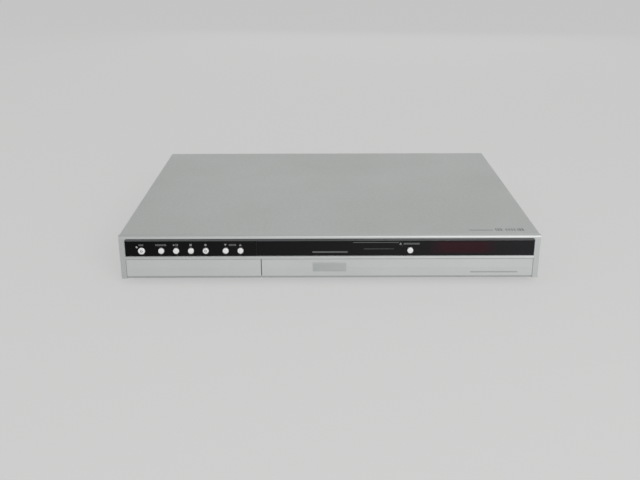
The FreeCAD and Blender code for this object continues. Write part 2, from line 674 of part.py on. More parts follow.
def rear_panel():
    """The rear plate with its cut-outs and the spoked grille of the fan."""
    body = new_body("RearPanel")
    face = rectangle(("-pan_half + seat_gap", "pan_half - seat_gap"), ("pan_wall", "inner_top - seat_gap"))
    add(body, "XZ_Plane", "panel_front", "panel_wall", face)
    through = ("panel_front - 1", "panel_wall + 2")
    take(body, "XZ_Plane", *through, rounds=[(x, z, "rca_radius + socket_clear") for x, z in rca_columns()])
    take(body, "XZ_Plane", *through, rounds=[(x, z, "svideo_radius + 0.5") for x, z in svideo_spots()])
    take(body, "XZ_Plane", *through,
         rounds=[(x, z, "antenna_radius + socket_clear") for x, z in antenna_spots()])
    take(body, "XZ_Plane", *through,
         rectangle(("optical_x - 5.2", "optical_x + 5.2"), ("board_top", "board_top + 10.6")))
    take(body, "XZ_Plane", *through, rectangle(
        ("inlet_x - inlet_half - seat_gap", "inlet_x + inlet_half + seat_gap"),
        ("inlet_height - inlet_tall - seat_gap", "inlet_height + inlet_tall + seat_gap")))
    room = "(fan_bore * grille_share - grille_web)"
    slot = f"({room} / (grille_slots * 1.435))"
    for low_u in ("fan_x + grille_web", f"fan_x - grille_web - {room}"):
        for low_v in ("fan_height + grille_web", f"fan_height - grille_web - {room}"):
            window = take(body, "XZ_Plane", *through,
                          rectangle((low_u, f"{low_u} + {room}"), (low_v, f"{low_v} + {slot}")))
            repeat(body, window, "Z_Axis", f"({room} - {slot}) / (grille_slots - 1)", "grille_slots")
    return node("rear_panel", body)


def front_bezel():
    """The moulded front: frame round the window, ledge, jack bay, and the bosses that hold the key board."""
    body = new_body("FrontBezel")
    add(body, "XZ_Plane", "0", "bezel_lip", rectangle(FULL, ("0", "front_height")))
    inner = ("-half_width + cover_wall + seat_gap", "half_width - cover_wall - seat_gap")
    add(body, "XZ_Plane", "0", "bezel_depth", rectangle(inner, ("0", "inner_top - seat_gap")))
    doc.recompute()
    rounded(body, "bezel_round", edges_along(body.Shape, "x", y=0, z=value("front_height")))
    low_band = ("-half_width + end_strip", "half_width - end_strip")
    take(body, "XZ_Plane", "-1", "trim_back + seat_gap + 1", rectangle(low_band, ("-1", "trim_height")))
    take(body, "XZ_Plane", "-1", "window_back + 1",
         rectangle(low_band, ("trim_height + ledge_height", "window_high + seat_gap")))
    hollow = ("-half_width + cover_wall + bezel_wall", "half_width - cover_wall - bezel_wall")
    take(body, "XZ_Plane", "plate_back", "bezel_depth",
         rectangle(hollow, ("bezel_wall", "inner_top - bezel_wall")))
    add(body, "XZ_Plane", "plate_back - 1", "bay_depth + 2 - plate_back + 1",
        rectangle(("bay_left - bay_wall", "bay_right + bay_wall"), ("bezel_wall / 2", "bay_high + bay_wall")))
    take(body, "XZ_Plane", "0", "bay_depth", rectangle(("bay_left", "bay_right"), ("bay_low", "bay_high")))
    take(body, "XZ_Plane", "0", "trim_back + 1.3",
         rectangle(("-half_width + end_strip", "trim_split + 0.2"), ("-1", "bay_low + 1.2")))
    through = ("window_back - 1", "bezel_wall * 1.4 + 2")
    keys = [(f"{key}_x", "button_height", "button_flange + run_gap") for key in BUTTONS]
    take(body, "XZ_Plane", *through, rounds=keys + [
        ("lamp_x", "lamp_height", "lamp_radius + seat_gap"),
        ("sensor_x", "sensor_height", "sensor_radius + seat_gap")])
    take(body, "XZ_Plane", *through, rectangle(
        ("display_left - seat_gap", "display_right + seat_gap"),
                                               ("display_low - seat_gap", "display_high + seat_gap")))
    take(body, "XZ_Plane", *through, rectangle(
        ("-tray_half - 2", "tray_half + 2"), ("trim_height + ledge_height", "tray_deck + tray_rim + 1.2")))
    take(body, "XZ_Plane", "bay_depth - 1", "4", rounds=[
        (f"front_rca_x + {number} * front_rca_pitch", "front_jack_height", "rca_radius + 0.5")
                                                         for number in range(3)])
    take(body, "XZ_Plane", "bay_depth - 1", "4", rectangle(
        ("digital_in_x - 4.2", "digital_in_x + 4.2"), ("front_jack_height - 3.2", "front_jack_height + 3.2")))
    take(body, "YZ_Plane", "-half_width + end_strip - flap_pin_reach - seat_gap", "flap_pin_reach + 1",
         rounds=[
        ("flap_pivot_depth", "flap_pivot_height", "flap_pin + seat_gap")])
    high = "inner_top - 6.7"
    bosses = [("-half_width + 9", "inner_top - 8.6"), ("-drive_half - 6", high), ("drive_half + 3.5", high),
              ("half_width - 9", high), ("half_width - 9", "9"), ("drive_half + 10", "9")]
    add(body, "XZ_Plane", "plate_back - 1", "board_front - plate_back + 1",
        rounds=[(x, z, "2.4") for x, z in bosses])
    return node("front_bezel", body)


def front_window():
    """The black window: a strip with a bevelled top, notched for the tray door and bored for the buttons."""
    body = new_body("FrontWindow")
    top = "window_high"
    add(body, "YZ_Plane", "-window_half", "2 * window_half", (
        ("window_inset", "window_low"), ("window_back", "window_low"), ("window_back", top),
        ("window_inset + window_bevel_depth", top), ("window_inset", f"{top} - window_bevel")))
    through = ("0", "window_back + 1")
    take(body, "XZ_Plane", *through, rectangle(
        ("-door_half - run_gap", "door_half + run_gap"), ("window_low - 1", f"{top} - window_bevel")))
    keys = [(f"{key}_x", "button_height", "button_radius + run_gap") for key in BUTTONS]
    take(body, "XZ_Plane", *through, rounds=keys + [("lamp_x", "lamp_height", "lamp_radius + seat_gap")])
    return node("front_window", body)


def band_profile():
    """Section of the flap and of the lower trim, as depth and height: a shallow crown over a bevel."""
    return (("trim_inset + 0.35", "trim_height - seat_gap"), ("trim_back", "trim_height - seat_gap"),
            ("trim_back", "seat_gap"), ("trim_inset + trim_bevel_depth", "seat_gap"),
            ("trim_inset + 0.15", "trim_bevel"), ("trim_inset", "trim_height * 0.55"))


def lower_trim():
    """The fixed silver trim at the right, with the plain raised pad and the far bearing of the flap."""
    body = new_body("LowerTrim")
    left = "trim_split + 0.5"
    add(body, "YZ_Plane", left, f"half_width - end_strip - seat_gap - ({left})", band_profile())
    take(body, "YZ_Plane", f"{left} - 1", "flap_pin_reach + seat_gap + 1.4", rounds=[
        ("flap_pivot_depth", "flap_pivot_height", "flap_pin + seat_gap")])
    add(body, "XZ_Plane", "trim_inset - pad_rise", "1",
        rectangle(("-pad_half", "pad_half"), ("pad_low", "pad_high")))
    return node("lower_trim", body)


def jack_flap():
    """The hinged flap over the front jacks, with its two hinge pins."""
    body = new_body("JackFlap")
    left = "-half_width + end_strip + seat_gap"
    add(body, "YZ_Plane", left, f"trim_split - 0.5 - ({left})", band_profile())
    pin = [("flap_pivot_depth", "flap_pivot_height", "flap_pin")]
    add(body, "YZ_Plane", f"{left} - flap_pin_reach", f"trim_split - 0.5 - ({left}) + 2 * flap_pin_reach",
        rounds=pin)
    return node("jack_flap", body)


def tray_door():
    """The black door on the front of the tray."""
    body = new_body("TrayDoor")
    add(body, "XZ_Plane", "window_inset", "window_wall", rectangle(
        ("-door_half", "door_half"), ("window_low + run_gap", "window_high - window_bevel - run_gap")))
    return node("tray_door", body)


def buttons():
    """The round buttons: cap, retaining flange and the stem that reaches for the switch."""
    for key in BUTTONS:
        cap = rod("y", ("0", "0"), "button_radius", ("window_inset - button_proud", "window_back + 0.5"))
        flange = rod("y", ("0", "0"), "button_flange",
                     ("window_back + 0.4", "window_back + 0.4 + button_flange_wall"))
        stem = rod("y", ("0", "0"), "button_stem", ("window_back + 1", "stem_end"))
        button = joined(cap, flange, stem)
        name = {"down": "channel_down", "up": "channel_up"}.get(key, key)
        node(f"{name}_button", button, lambda thing, key=key: seat(thing, f"{key}_x", "0", "button_height"))


def feet():
    """Four tapered feet."""
    spots = [(f"{side} * (half_width - foot_side_inset)", y) for side in (-1, 1)
             for y in ("foot_front_inset", "case_depth - foot_back_inset")]
    node("feet", group(*[cone(spot, ("foot_radius - foot_taper", "foot_radius"), ("-foot_height", "0"))
                         for spot in spots]))


def case_screws():
    """The screws round the edge of the rear panel."""
    spots = [(f"{side} * (pan_half - 6)", z) for side in (-1, 1) for z in ("7", "inner_top - 6")]
    spots += [("-60", "inner_top - 5"), ("inlet_x + 24", "7"), ("inlet_x + 24", "inner_top - 6")]
    node("case_screws", group(*[rod("y", spot, "screw_head", ("case_depth", "case_depth + screw_rise"))
                                for spot in spots]))


def front_board():
    """The key board: a plate behind the whole front, cut away over the jack bay and for the tray."""
    body = new_body("FrontBoard")
    left = "-half_width + 7"
    right = "half_width - 7"
    shelf = "bay_high + bay_wall + 0.8"
    arm = "drive_half + 3"
    crown = "inner_top - bezel_wall - 0.6"
    add(body, "XZ_Plane", "board_front", "board_wall", (
        (left, shelf), ("bay_right + bay_wall + 1.5", shelf),
                                                        ("bay_right + bay_wall + 1.5", "bezel_wall + 1"),
        (right, "bezel_wall + 1"), (right, crown), (arm, crown), (arm, "tray_floor - rail_depth - 2.8"),
        (f"-({arm})", "tray_floor - rail_depth - 2.8"), (f"-({arm})", crown), (left, crown)))
    return node("front_board", body)


def tact_switches():
    """A push switch behind each button."""
    switches = []
    for key in BUTTONS:
        middle = f"{key}_x"
        base = slab((f"{middle} - switch_side / 2", f"{middle} + switch_side / 2"),
                    ("board_front - switch_depth", "board_front"),
                    ("button_height - switch_side / 2", "button_height + switch_side / 2"))
        plunger = rod("y", (middle, "button_height"), "1.75",
                      ("board_front - switch_depth - switch_plunger", "board_front - 1"))
        switches.append(joined(base, plunger))
    node("tact_switches", group(*switches))


def display_module():
    """The glass box of the display, on its legs on the key board."""
    glass = slab(("display_left", "display_right"),
                 ("window_back + 0.6", "window_back + 0.6 + display_depth"),
                 ("display_low", "display_high"))
    legs = [slab((f"{x} - 1", f"{x} + 1"), ("window_back + display_depth", "board_front"),
                 ("display_low + 1", "display_high - 1")) for x in ("display_left + 3", "display_right - 3")]
    node("display_module", joined(glass, *legs))


def lamp_and_sensor():
    """The standby lamp with its light guide, and the remote control sensor."""
    guide = rod("y", ("lamp_x", "lamp_height"), "lamp_radius", ("window_inset + 0.2", "board_front"))
    node("standby_lamp", guide)
    eye = rod("y", ("sensor_x", "sensor_height"), "sensor_radius", ("window_back + 0.6", "board_front - 2"))
    can = slab(("sensor_x - 3.6", "sensor_x + 3.6"), ("board_front - 4.2", "board_front"),
               ("sensor_height - 4.4", "sensor_height + 4.4"))
    node("remote_sensor", joined(eye, can))


def phono_socket(x, z, face, way):
    """A phono socket: a sleeve on a square body. Its way is 1 to the back and -1 to the front."""
    def span(first, last):
        """Two places along the socket, counted from its face and put in order."""
        ends = (f"{face} + {way} * ({first})", f"{face} + {way} * ({last})")
        return ends if way > 0 else ends[::-1]

    half = "rca_block / 2"
    base = slab((f"{x} - {half}", f"{x} + {half}"), span("-rca_body", "0"),
                (f"{z} - {half}", f"{z} + {half}"))
    sleeve = rod("y", (x, z), "rca_radius", span("-rca_floor", "rca_reach"))
    hole = rod("y", (x, z), "rca_bore", span("rca_floor", "rca_reach + 1"))
    return less(joined(base, sleeve), hole)


def front_jacks():
    """Phono sockets and the digital input in the bay behind the flap, with their board."""
    face = "bay_depth + 2"
    node("front_rca_jacks", group(*[
        phono_socket(f"front_rca_x + {number} * front_rca_pitch", "front_jack_height", face, -1)
        for number in range(3)]))
    board = ("bay_depth + 7.6", "bay_depth + 7.6 + board_wall")
    shell = slab(("digital_in_x - 4", "digital_in_x + 4"), ("bay_depth - 0.4", board[0]),
                 ("front_jack_height - 3", "front_jack_height + 3"))
    mouth = slab(("digital_in_x - 3.1", "digital_in_x + 3.1"), ("bay_depth - 1", "bay_depth + 4"),
                 ("front_jack_height - 2.1", "front_jack_height + 2.1"))
    node("front_digital_socket", less(shell, mouth))
    node("jack_board", slab(("bay_left", "bay_right - 6"), board, ("pan_wall + 0.6", "bay_high - 1")))


def circuit_board(key, *parts):
    """A board on its posts, with the parts that are soldered on it."""
    left, width, front, length = BOARDS[key]
    plate = slab((left, f"{left} + {width}"), (front, f"{front} + {length}"), ("board_lift", "board_top"))
    return joined(plate, *parts)


def on_board(key, across, along):
    """A point of a board, as shares of its width from the left and of its length from the front."""
    left, width, front, length = BOARDS[key]
    return f"({left} + {across} * {width})", f"({front} + {along} * {length})"


def chip(key, across, along, size, height):
    """A chip on a board, its middle given as shares of the board."""
    x, y = on_board(key, across, along)
    return slab((f"{x} - {size[0] / 2}", f"{x} + {size[0] / 2}"),
                (f"{y} - {size[1] / 2}", f"{y} + {size[1] / 2}"),
                ("board_top - board_wall / 3", f"board_top + {height}"))


def boards():
    """The power board, the signal board at the rear sockets and the disc board beside the loader."""
    node("power_board", circuit_board("power"))
    node("signal_board", circuit_board(
        "av", chip("av", 0.21, 0.38, (22, 22), 2), chip("av", 0.42, 0.35, (16, 16), 2),
                                       chip("av", 0.57, 0.23, (10, 18), 2.4)))
    node("disc_board", circuit_board(
        "logic", chip("logic", 0.49, 0.56, (31, 31), 2.6), chip("logic", 0.22, 0.525, (12, 22), 1.4),
        chip("logic", 0.49, 0.31, (22, 11), 1.4), chip("logic", 0.76, 0.8, (20, 20), 2)))


def power_parts():
    """Transformer, capacitors and heat sink on the power board."""
    x, y = on_board("power", 0.426, 0.429)
    core = slab((f"{x} - core_half", f"{x} + core_half"), (f"{y} - core_half + 1", f"{y} + core_half - 1"),
                ("board_top", "board_top + core_height"))
    wound = ("board_top + core_limb", "board_top + core_height - core_limb")
    windows = [slab((f"{x} - core_half - 1", f"{x} + core_half + 1"),
                    (f"{y} + {low}", f"{y} + {low} + core_window"), wound)
               for low in ("(3.5 - core_half + 1)", "(core_half - 1 - 3.5 - core_window)")]
    winding = slab((f"{x} - core_half - 3", f"{x} + core_half + 3"), (f"{y} - 13.2", f"{y} + 13.2"),
                   ("board_top + core_limb + 0.2", "board_top + core_height - core_limb - 0.2"))
    node("transformer", joined(less(core, *windows), winding))
    cans = ((0.778, 0.204, 9, 28), (0.778, 0.337, 6.3, 24), (0.778, 0.429, 6.3, 24), (0.185, 0.153, 8, 25),
            (0.37, 0.153, 5, 20))
    node("capacitors",
         group(*[rod("z", on_board("power", across, along), radius, ("board_top", f"board_top + {height}"))
                               for across, along, radius, height in cans]))
    x, y = on_board("power", 0.5, 0.714)
    high = "board_top + core_height"
    wall = slab((f"{x} - sink_half", f"{x} + sink_half"), (y, f"{y} + 2.5"), ("board_top", high))
    pitch = "(2 * sink_half - fin_wall) / (sink_fins - 1)"
    fins = [slab((f"{x} - sink_half + {number} * {pitch}",
                  f"{x} - sink_half + fin_wall + {number} * {pitch}"),
                 (f"{y} + 2", f"{y} + sink_depth"), ("board_top + 2", high))
            for number in range(int(value("sink_fins")))]
    node("heat_sink", joined(wall, *fins))


def rear_sockets():
    """Everything that comes out of the rear panel apart from the fan."""
    face = "panel_front - seat_gap"
    node("rear_rca_jacks", group(*[phono_socket(x, z, face, 1) for x, z in rca_columns()]))
    round_sockets = []
    for x, z in svideo_spots():
        block = slab((f"{x} - 7", f"{x} + 7"), (f"{face} - 9", face), (f"{z} - 6.5", f"{z} + 6.5"))
        ring = rod("y", (x, z), "svideo_radius", (f"{face} - 1", "case_depth + 1"))
        mouth = rod("y", (x, z), "svideo_radius - 1", (f"{face} - 4", "case_depth + 2"))
        round_sockets.append(less(joined(block, ring), mouth))
    node("svideo_sockets", group(*round_sockets))
    block = slab(("optical_x - 5", "optical_x + 5"), (f"{face} - 12", "case_depth + 1.2"),
                 ("board_top", "board_top + 10.4"))
    mouth = slab(("optical_x - 3", "optical_x + 3"), ("case_depth - 6", "case_depth + 2"),
                 ("board_top + 2.2", "board_top + 8.2"))
    node("optical_socket", less(block, mouth))
    tin = slab(("tuner_left", "tuner_left + tuner_width"), (f"{face} - tuner_length", face),
               ("board_top", "board_top + tuner_height"))
    sockets = [rod("y", spot, "antenna_radius", (f"{face} - 2", "case_depth + jack_reach"))
               for spot in antenna_spots()]
    bores = [rod("y", spot, "antenna_radius - 1.2", ("case_depth - 2", "case_depth + jack_reach + 1"))
             for spot in antenna_spots()]
    node("tuner_module", less(joined(tin, *sockets), *bores))


def ac_inlet():
    """The two-pole mains inlet: flange, housing and the hollow with its two pins."""
    x, z = "inlet_x", "inlet_height"
    front, end = "case_depth - inlet_mouth", "case_depth + inlet_proud"
    housing = slab((f"{x} - inlet_half", f"{x} + inlet_half"), ("panel_front - inlet_body", end),
                   (f"{z} - inlet_tall", f"{z} + inlet_tall"))
    rim = slab((f"{x} - inlet_half - inlet_rim", f"{x} + inlet_half + inlet_rim"), ("case_depth", end),
               (f"{z} - inlet_tall - inlet_rim + 0.5", f"{z} + inlet_tall + inlet_rim - 0.5"))
    lobes = [f"{x} - inlet_lobe", f"{x} + inlet_lobe"]
    ends = [rod("y", (lobe, z), "inlet_lobe_radius", (front, f"{end} + 1")) for lobe in lobes]
    waist = slab(lobes, (front, f"{end} + 1"), (f"{z} - inlet_waist", f"{z} + inlet_waist"))
    pins = [rod("y", (lobe, z), "inlet_pin", (f"{front} - 0.5", f"{front} + inlet_mouth * 0.75"))
            for lobe in lobes]
    node("ac_inlet", joined(less(joined(housing, rim), *ends, waist), *pins))


def fan():
    """The case fan: square frame with a spoked back, and the bladed rotor on its pin."""
    x, z = "fan_x", "fan_height"
    back = "panel_front"
    front = f"{back} - fan_depth"
    frame = slab((f"{x} - fan_side / 2", f"{x} + fan_side / 2"), (front, back),
                 (f"{z} - fan_side / 2", f"{z} + fan_side / 2"))
    ring = less(frame, rod("y", (x, z), "fan_bore + 0.8", (f"{front} - 1", f"{back} + 1")))
    reach = "fan_bore + fan_rim"
    web = (front, f"{front} + fan_spoke_wall")
    spokes = [slab((f"{x} - {reach}", f"{x} + {reach}"), web, (f"{z} - fan_spoke", f"{z} + fan_spoke")),
              slab((f"{x} - fan_spoke", f"{x} + fan_spoke"), web, (f"{z} - {reach}", f"{z} + {reach}"))]
    mount = rod("y", (x, z), "fan_hub - 1", (front, f"{front} + 2"))
    pin = rod("y", (x, z), "fan_pin", (front, f"{back} - fan_spoke_wall"))
    node("fan_frame", joined(ring, *spokes, mount, pin))
    hub = less(rod("y", ("0", "0"), "fan_hub", ("2.4", "fan_depth - 0.8")),
               rod("y", ("0", "0"), "fan_pin + run_gap", ("2", "fan_depth - fan_spoke_wall")))
    blades = []
    for number in range(int(value("fan_blades"))):
        blade = doc.addObject("Part::Box", "Blade")
        bind(blade, Length="fan_blade_wall", Width="fan_depth - 4.4", Height="fan_bore - fan_hub + 0.4")
        blade.Placement = fan_blade_place(number)
        blades.append(blade)
    node("fan_rotor", joined(hub, *blades), lambda thing: seat(thing, x, front, z))


def fan_blade_place(number):
    """A blade stands out of the hub, pitched about its own length."""
    half = value("fan_blade_wall / 2")
    turn = FreeCAD.Rotation(Vector(0, 0, 1), value("fan_blade_pitch"))
    pitch = FreeCAD.Placement(Vector(), turn, Vector(half, value("fan_depth / 2 - 2.2"), 0))
    lift = FreeCAD.Placement(Vector(-half, 2.9, value("fan_hub - 0.6")), FreeCAD.Rotation())
    around = FreeCAD.Rotation(Vector(0, 1, 0), 360 / value("fan_blades") * number)
    return FreeCAD.Placement(Vector(), around) * lift * pitch


def loader_case():
    """The steel case of the loader: an open tray below and a lid that wraps over it."""
    back = "drive_front + drive_length"
    body = new_body("LoaderCase")
    add(body, "XY_Plane", "drive_floor", "28",
        rectangle(("-drive_half", "drive_half"), ("drive_front", back)))
    inside = ("-drive_half + drive_wall", "drive_half - drive_wall")
    take(body, "XY_Plane", "case_floor", "40", rectangle(inside, ("drive_front - 1", f"{back} - drive_wall")))
    take(body, "XZ_Plane", f"{back} - 2", "4",
         rectangle(("-52", "52"), ("case_floor + 4", "case_floor + 14")))
    node("loader_case", body)
    lid = new_body("LoaderLid")
    skirt = "drive_half + drive_wall + 0.1"
    add(lid, "XZ_Plane", "drive_front", f"drive_length + drive_wall + 0.1",
        rectangle((f"-({skirt})", skirt), ("drive_top - 20", "drive_top")))
    room = ("-drive_half - 0.1", "drive_half + 0.1")
    take(lid, "XZ_Plane", "drive_front - 1", "drive_length + 1.1",
         rectangle(room, ("0", "drive_top - drive_wall")))
    take(lid, "XY_Plane", "drive_top - 2", "4", rounds=[("0", "spindle_y", "9")])
    return node("loader_lid", lid)


def loader_frame():
    """The moulded frame: walls with tray guides, floor with axles, slider track and traverse brackets."""
    body = new_body("LoaderFrame")
    outer = ("-frame_half", "frame_half")
    add(body, "XY_Plane", "case_floor", "frame_top - case_floor",
        rectangle(outer, ("frame_front", "frame_back")))
    inside = ("-frame_half + frame_wall", "frame_half - frame_wall")
    take(body, "XY_Plane", "frame_deck", "40", rectangle(inside, ("frame_front + 2", "frame_back - 2")))
    passage = ("-tray_half - run_gap", "tray_half + run_gap")
    take(body, "XZ_Plane", "frame_front - 1", "frame_back",
         rectangle(passage, ("tray_floor - rail_depth - run_gap - 1.2", "50")))
    take(body, "XY_Plane", "case_floor - 1", "10", rectangle(
        ("-traverse_half - 9", "traverse_half + 9"), ("slider_front + slider_wall + 1.6", "frame_back - 6")))
    for side in (-1, 1):
        reach = ("frame_half - frame_wall - 0.5", "tray_half - guide_depth")
        low_u, high_u = (f"-({reach[0]})", f"-({reach[1]})") if side < 0 else reach[::-1]
        add(body, "XZ_Plane", "frame_front", "frame_back - frame_front", rectangle(
            (low_u, high_u), ("tray_floor - rail_depth - run_gap - 3", "tray_floor - rail_depth - run_gap")))
        lip = ("frame_half - frame_wall - 0.5", "tray_half - 2.2")
        low_u, high_u = (f"-({lip[0]})", f"-({lip[1]})") if side < 0 else lip[::-1]
        add(body, "XZ_Plane", "frame_front", "frame_back - frame_front", rectangle(
            (low_u, high_u), ("tray_deck + tray_rim + run_gap", "frame_top")))
        ear = ("traverse_half + 1.2", "traverse_half + 4.2")
        low_u, high_u = (f"-({ear[1]})", f"-({ear[0]})") if side < 0 else ear
        add(body, "XY_Plane", "case_floor", "tray_floor - rail_depth - 2 - case_floor", rectangle(
            (low_u, high_u), ("pivot_y - damper_radius - 2", "frame_back - 1")))
        take(body, "YZ_Plane", f"{low_u} - 0.2", "3.4",
             rounds=[("pivot_y", "lift_pivot_height", "damper_radius + 0.05")])
    track = ("-slider_travel - slider_margin - 2", "slider_travel + slider_margin + 2")
    add(body, "XY_Plane", "frame_deck - 0.5", "3.5",
        rectangle(track, ("slider_front - run_gap - 1.2", "slider_front - run_gap")))
    add(body, "XY_Plane", "frame_deck - 0.5", "3.5", rectangle(track, (
        "slider_front + slider_wall + run_gap", "slider_front + slider_wall + run_gap + 1.2")))
    add(body, "XY_Plane", "frame_deck - 0.5", "rack_low - frame_deck",
        rounds=[("gear_x", "gear_y", "axle_radius")])
    add(body, "XY_Plane", "frame_deck - 0.5", "train_high - frame_deck",
        rounds=[("pinion_x", "gear_y", "axle_radius")])
    add(body, "XY_Plane", "frame_deck - 0.5", "train_low - run_gap - frame_deck + 0.5", rounds=[
        ("gear_x", "gear_y", "axle_radius + 1")])
    add(body, "XY_Plane", "frame_deck - 0.5", "pulley_low - run_gap - frame_deck + 0.5", rounds=[
        ("pinion_x", "gear_y", "axle_radius + 1.6")])
    return node("loader_frame", body)


def wheel_outline(module, teeth, turn):
    """The outline of a toothed wheel: each flank runs from root through the pitch circle to the tip."""
    pitch_radius = module * teeth / 2
    pressure = math.radians(20)
    root, tip = pitch_radius - 1.15 * module, pitch_radius + 0.8 * module
    base = pitch_radius * math.cos(pressure)

    def half_angle(radius):
        """Half the angle that a tooth takes up at a radius."""
        roll = math.acos(min(1, base / max(radius, base)))
        lean = math.tan(roll) - roll
        return math.pi * value("tooth_share") / teeth + math.tan(pressure) - pressure - lean

    levels = [root, (pitch_radius + root) / 2, pitch_radius, tip]
    corners = []
    for tooth in range(teeth):
        middle = turn + 2 * math.pi * tooth / teeth
        rising = [(radius, middle - half_angle(radius)) for radius in levels]
        falling = [(radius, middle + half_angle(radius)) for radius in reversed(levels)]
        corners += [Vector(radius * math.cos(angle), radius * math.sin(angle), 0) for radius,
                    angle in rising + falling]
    return corners


def prism(corners, low, high):
    """A prism over an outline in the xy plane."""
    lifted = [corner + Vector(0, 0, low) for corner in corners]
    return Part.Face(Part.makePolygon(lifted + lifted[:1])).extrude(Vector(0, 0, high - low))


def disc(radius, low, high):
    """A round plate on the z axis."""
    return Part.makeCylinder(radius, high - low, Vector(0, 0, low))


def drive_gear():
    """The tray gear: a coarse toothed wheel on the rack over a finer one on the pinion."""
    coarse = wheel_outline(value("rack_module"), int(value("rack_teeth_wheel")), 0)
    fine = wheel_outline(value("train_module"), int(value("train_teeth_wheel")), 0)
    wheel = prism(coarse, value("rack_low"),
                  value("rack_high")).fuse(prism(fine, value("train_low"), value("train_high")))
    wheel = wheel.fuse(disc(value("axle_radius") + 3, value("train_low"), value("rack_high")))
    bore = disc(value("axle_radius") + value("run_gap"), value("train_low") - 1, value("rack_high") + 1)
    node("drive_gear", solid(wheel.cut(bore)), lambda thing: seat(thing, "gear_x", "gear_y", "0"))


def pulley_gear():
    """The pinion with the large belt pulley under it."""
    teeth = int(value("pinion_teeth"))
    pinion = prism(wheel_outline(value("train_module"), teeth, math.pi / teeth), value("pulley_high") - 0.2,
                   value("train_high"))
    low, high, groove = value("pulley_low"), value("pulley_high"), value("pulley_radius")
    side = (high - low - value("belt_side") - 0.4) / 2
    pulley = disc(groove + 1, low,
                  low + side).fuse(disc(groove, low, high)).fuse(disc(groove + 1, high - side, high))
    bore = disc(value("axle_radius") + value("run_gap"), low - 1, value("train_high") + 1)
    node("pulley_gear", solid(pulley.fuse(pinion).cut(bore)),
         lambda thing: seat(thing, "pinion_x", "gear_y", "0"))


def loading_drive():
    """The loading motor, its pulley and the belt to the large pulley."""
    x, y = "pulley_x", "gear_y"
    can = rod("z", (x, y), "motor_radius", ("frame_deck", "frame_deck + motor_height"))
    collar = rod("z", (x, y), "3", ("frame_deck + motor_height - 1", "frame_deck + motor_height + 0.8"))
    shaft = rod("z", (x, y), "0.8", ("frame_deck + motor_height", "pulley_high"))
    node("loading_motor", joined(can, collar, shaft))
    low, high, groove = value("pulley_low"), value("pulley_high"), value("motor_pulley_radius")
    side = (high - low - value("belt_side") - 0.4) / 2
    wheel = disc(groove + 1, low,
                 low + side).fuse(disc(groove, low, high)).fuse(disc(groove + 1, high - side, high))
    wheel = wheel.cut(disc(1.1, low - 1, high + 1))
    node("motor_pulley", solid(wheel), lambda thing: seat(thing, x, y, "0"))
    node("drive_belt", solid(belt_shape()), lambda thing: seat(thing, "0", y, "0"))


def belt_shape():
    """The belt: an open loop round both pulleys, straight between them."""
    gap, side = value("run_gap"), value("belt_side")
    low = (value("pulley_low") + value("pulley_high") - side) / 2
    outer = loop_face(gap + side, low).extrude(Vector(0, 0, side))
    return outer.cut(loop_face(gap, low - 1).extrude(Vector(0, 0, side + 2)))


def loop_face(grow, level):
    """The flat area inside a loop round both pulleys, grown by a distance."""
    big, small = value("pulley_radius") + grow, value("motor_pulley_radius") + grow
    first, second = value("pinion_x"), value("pulley_x")
    lean = math.asin((big - small) / (second - first))
    edges = []
    tops = [Vector(centre + radius * math.sin(lean), radius * math.cos(lean), level)
            for centre, radius in ((first, big), (second, small))]
    lows = [Vector(point.x, -point.y, level) for point in tops]
    edges.append(Part.LineSegment(tops[0], tops[1]).toShape())
    edges.append(Part.Arc(tops[1], Vector(second + small, 0, level), lows[1]).toShape())
    edges.append(Part.LineSegment(lows[1], lows[0]).toShape())
    edges.append(Part.Arc(lows[0], Vector(first - big, 0, level), tops[0]).toShape())
    return Part.Face(Part.Wire(edges))


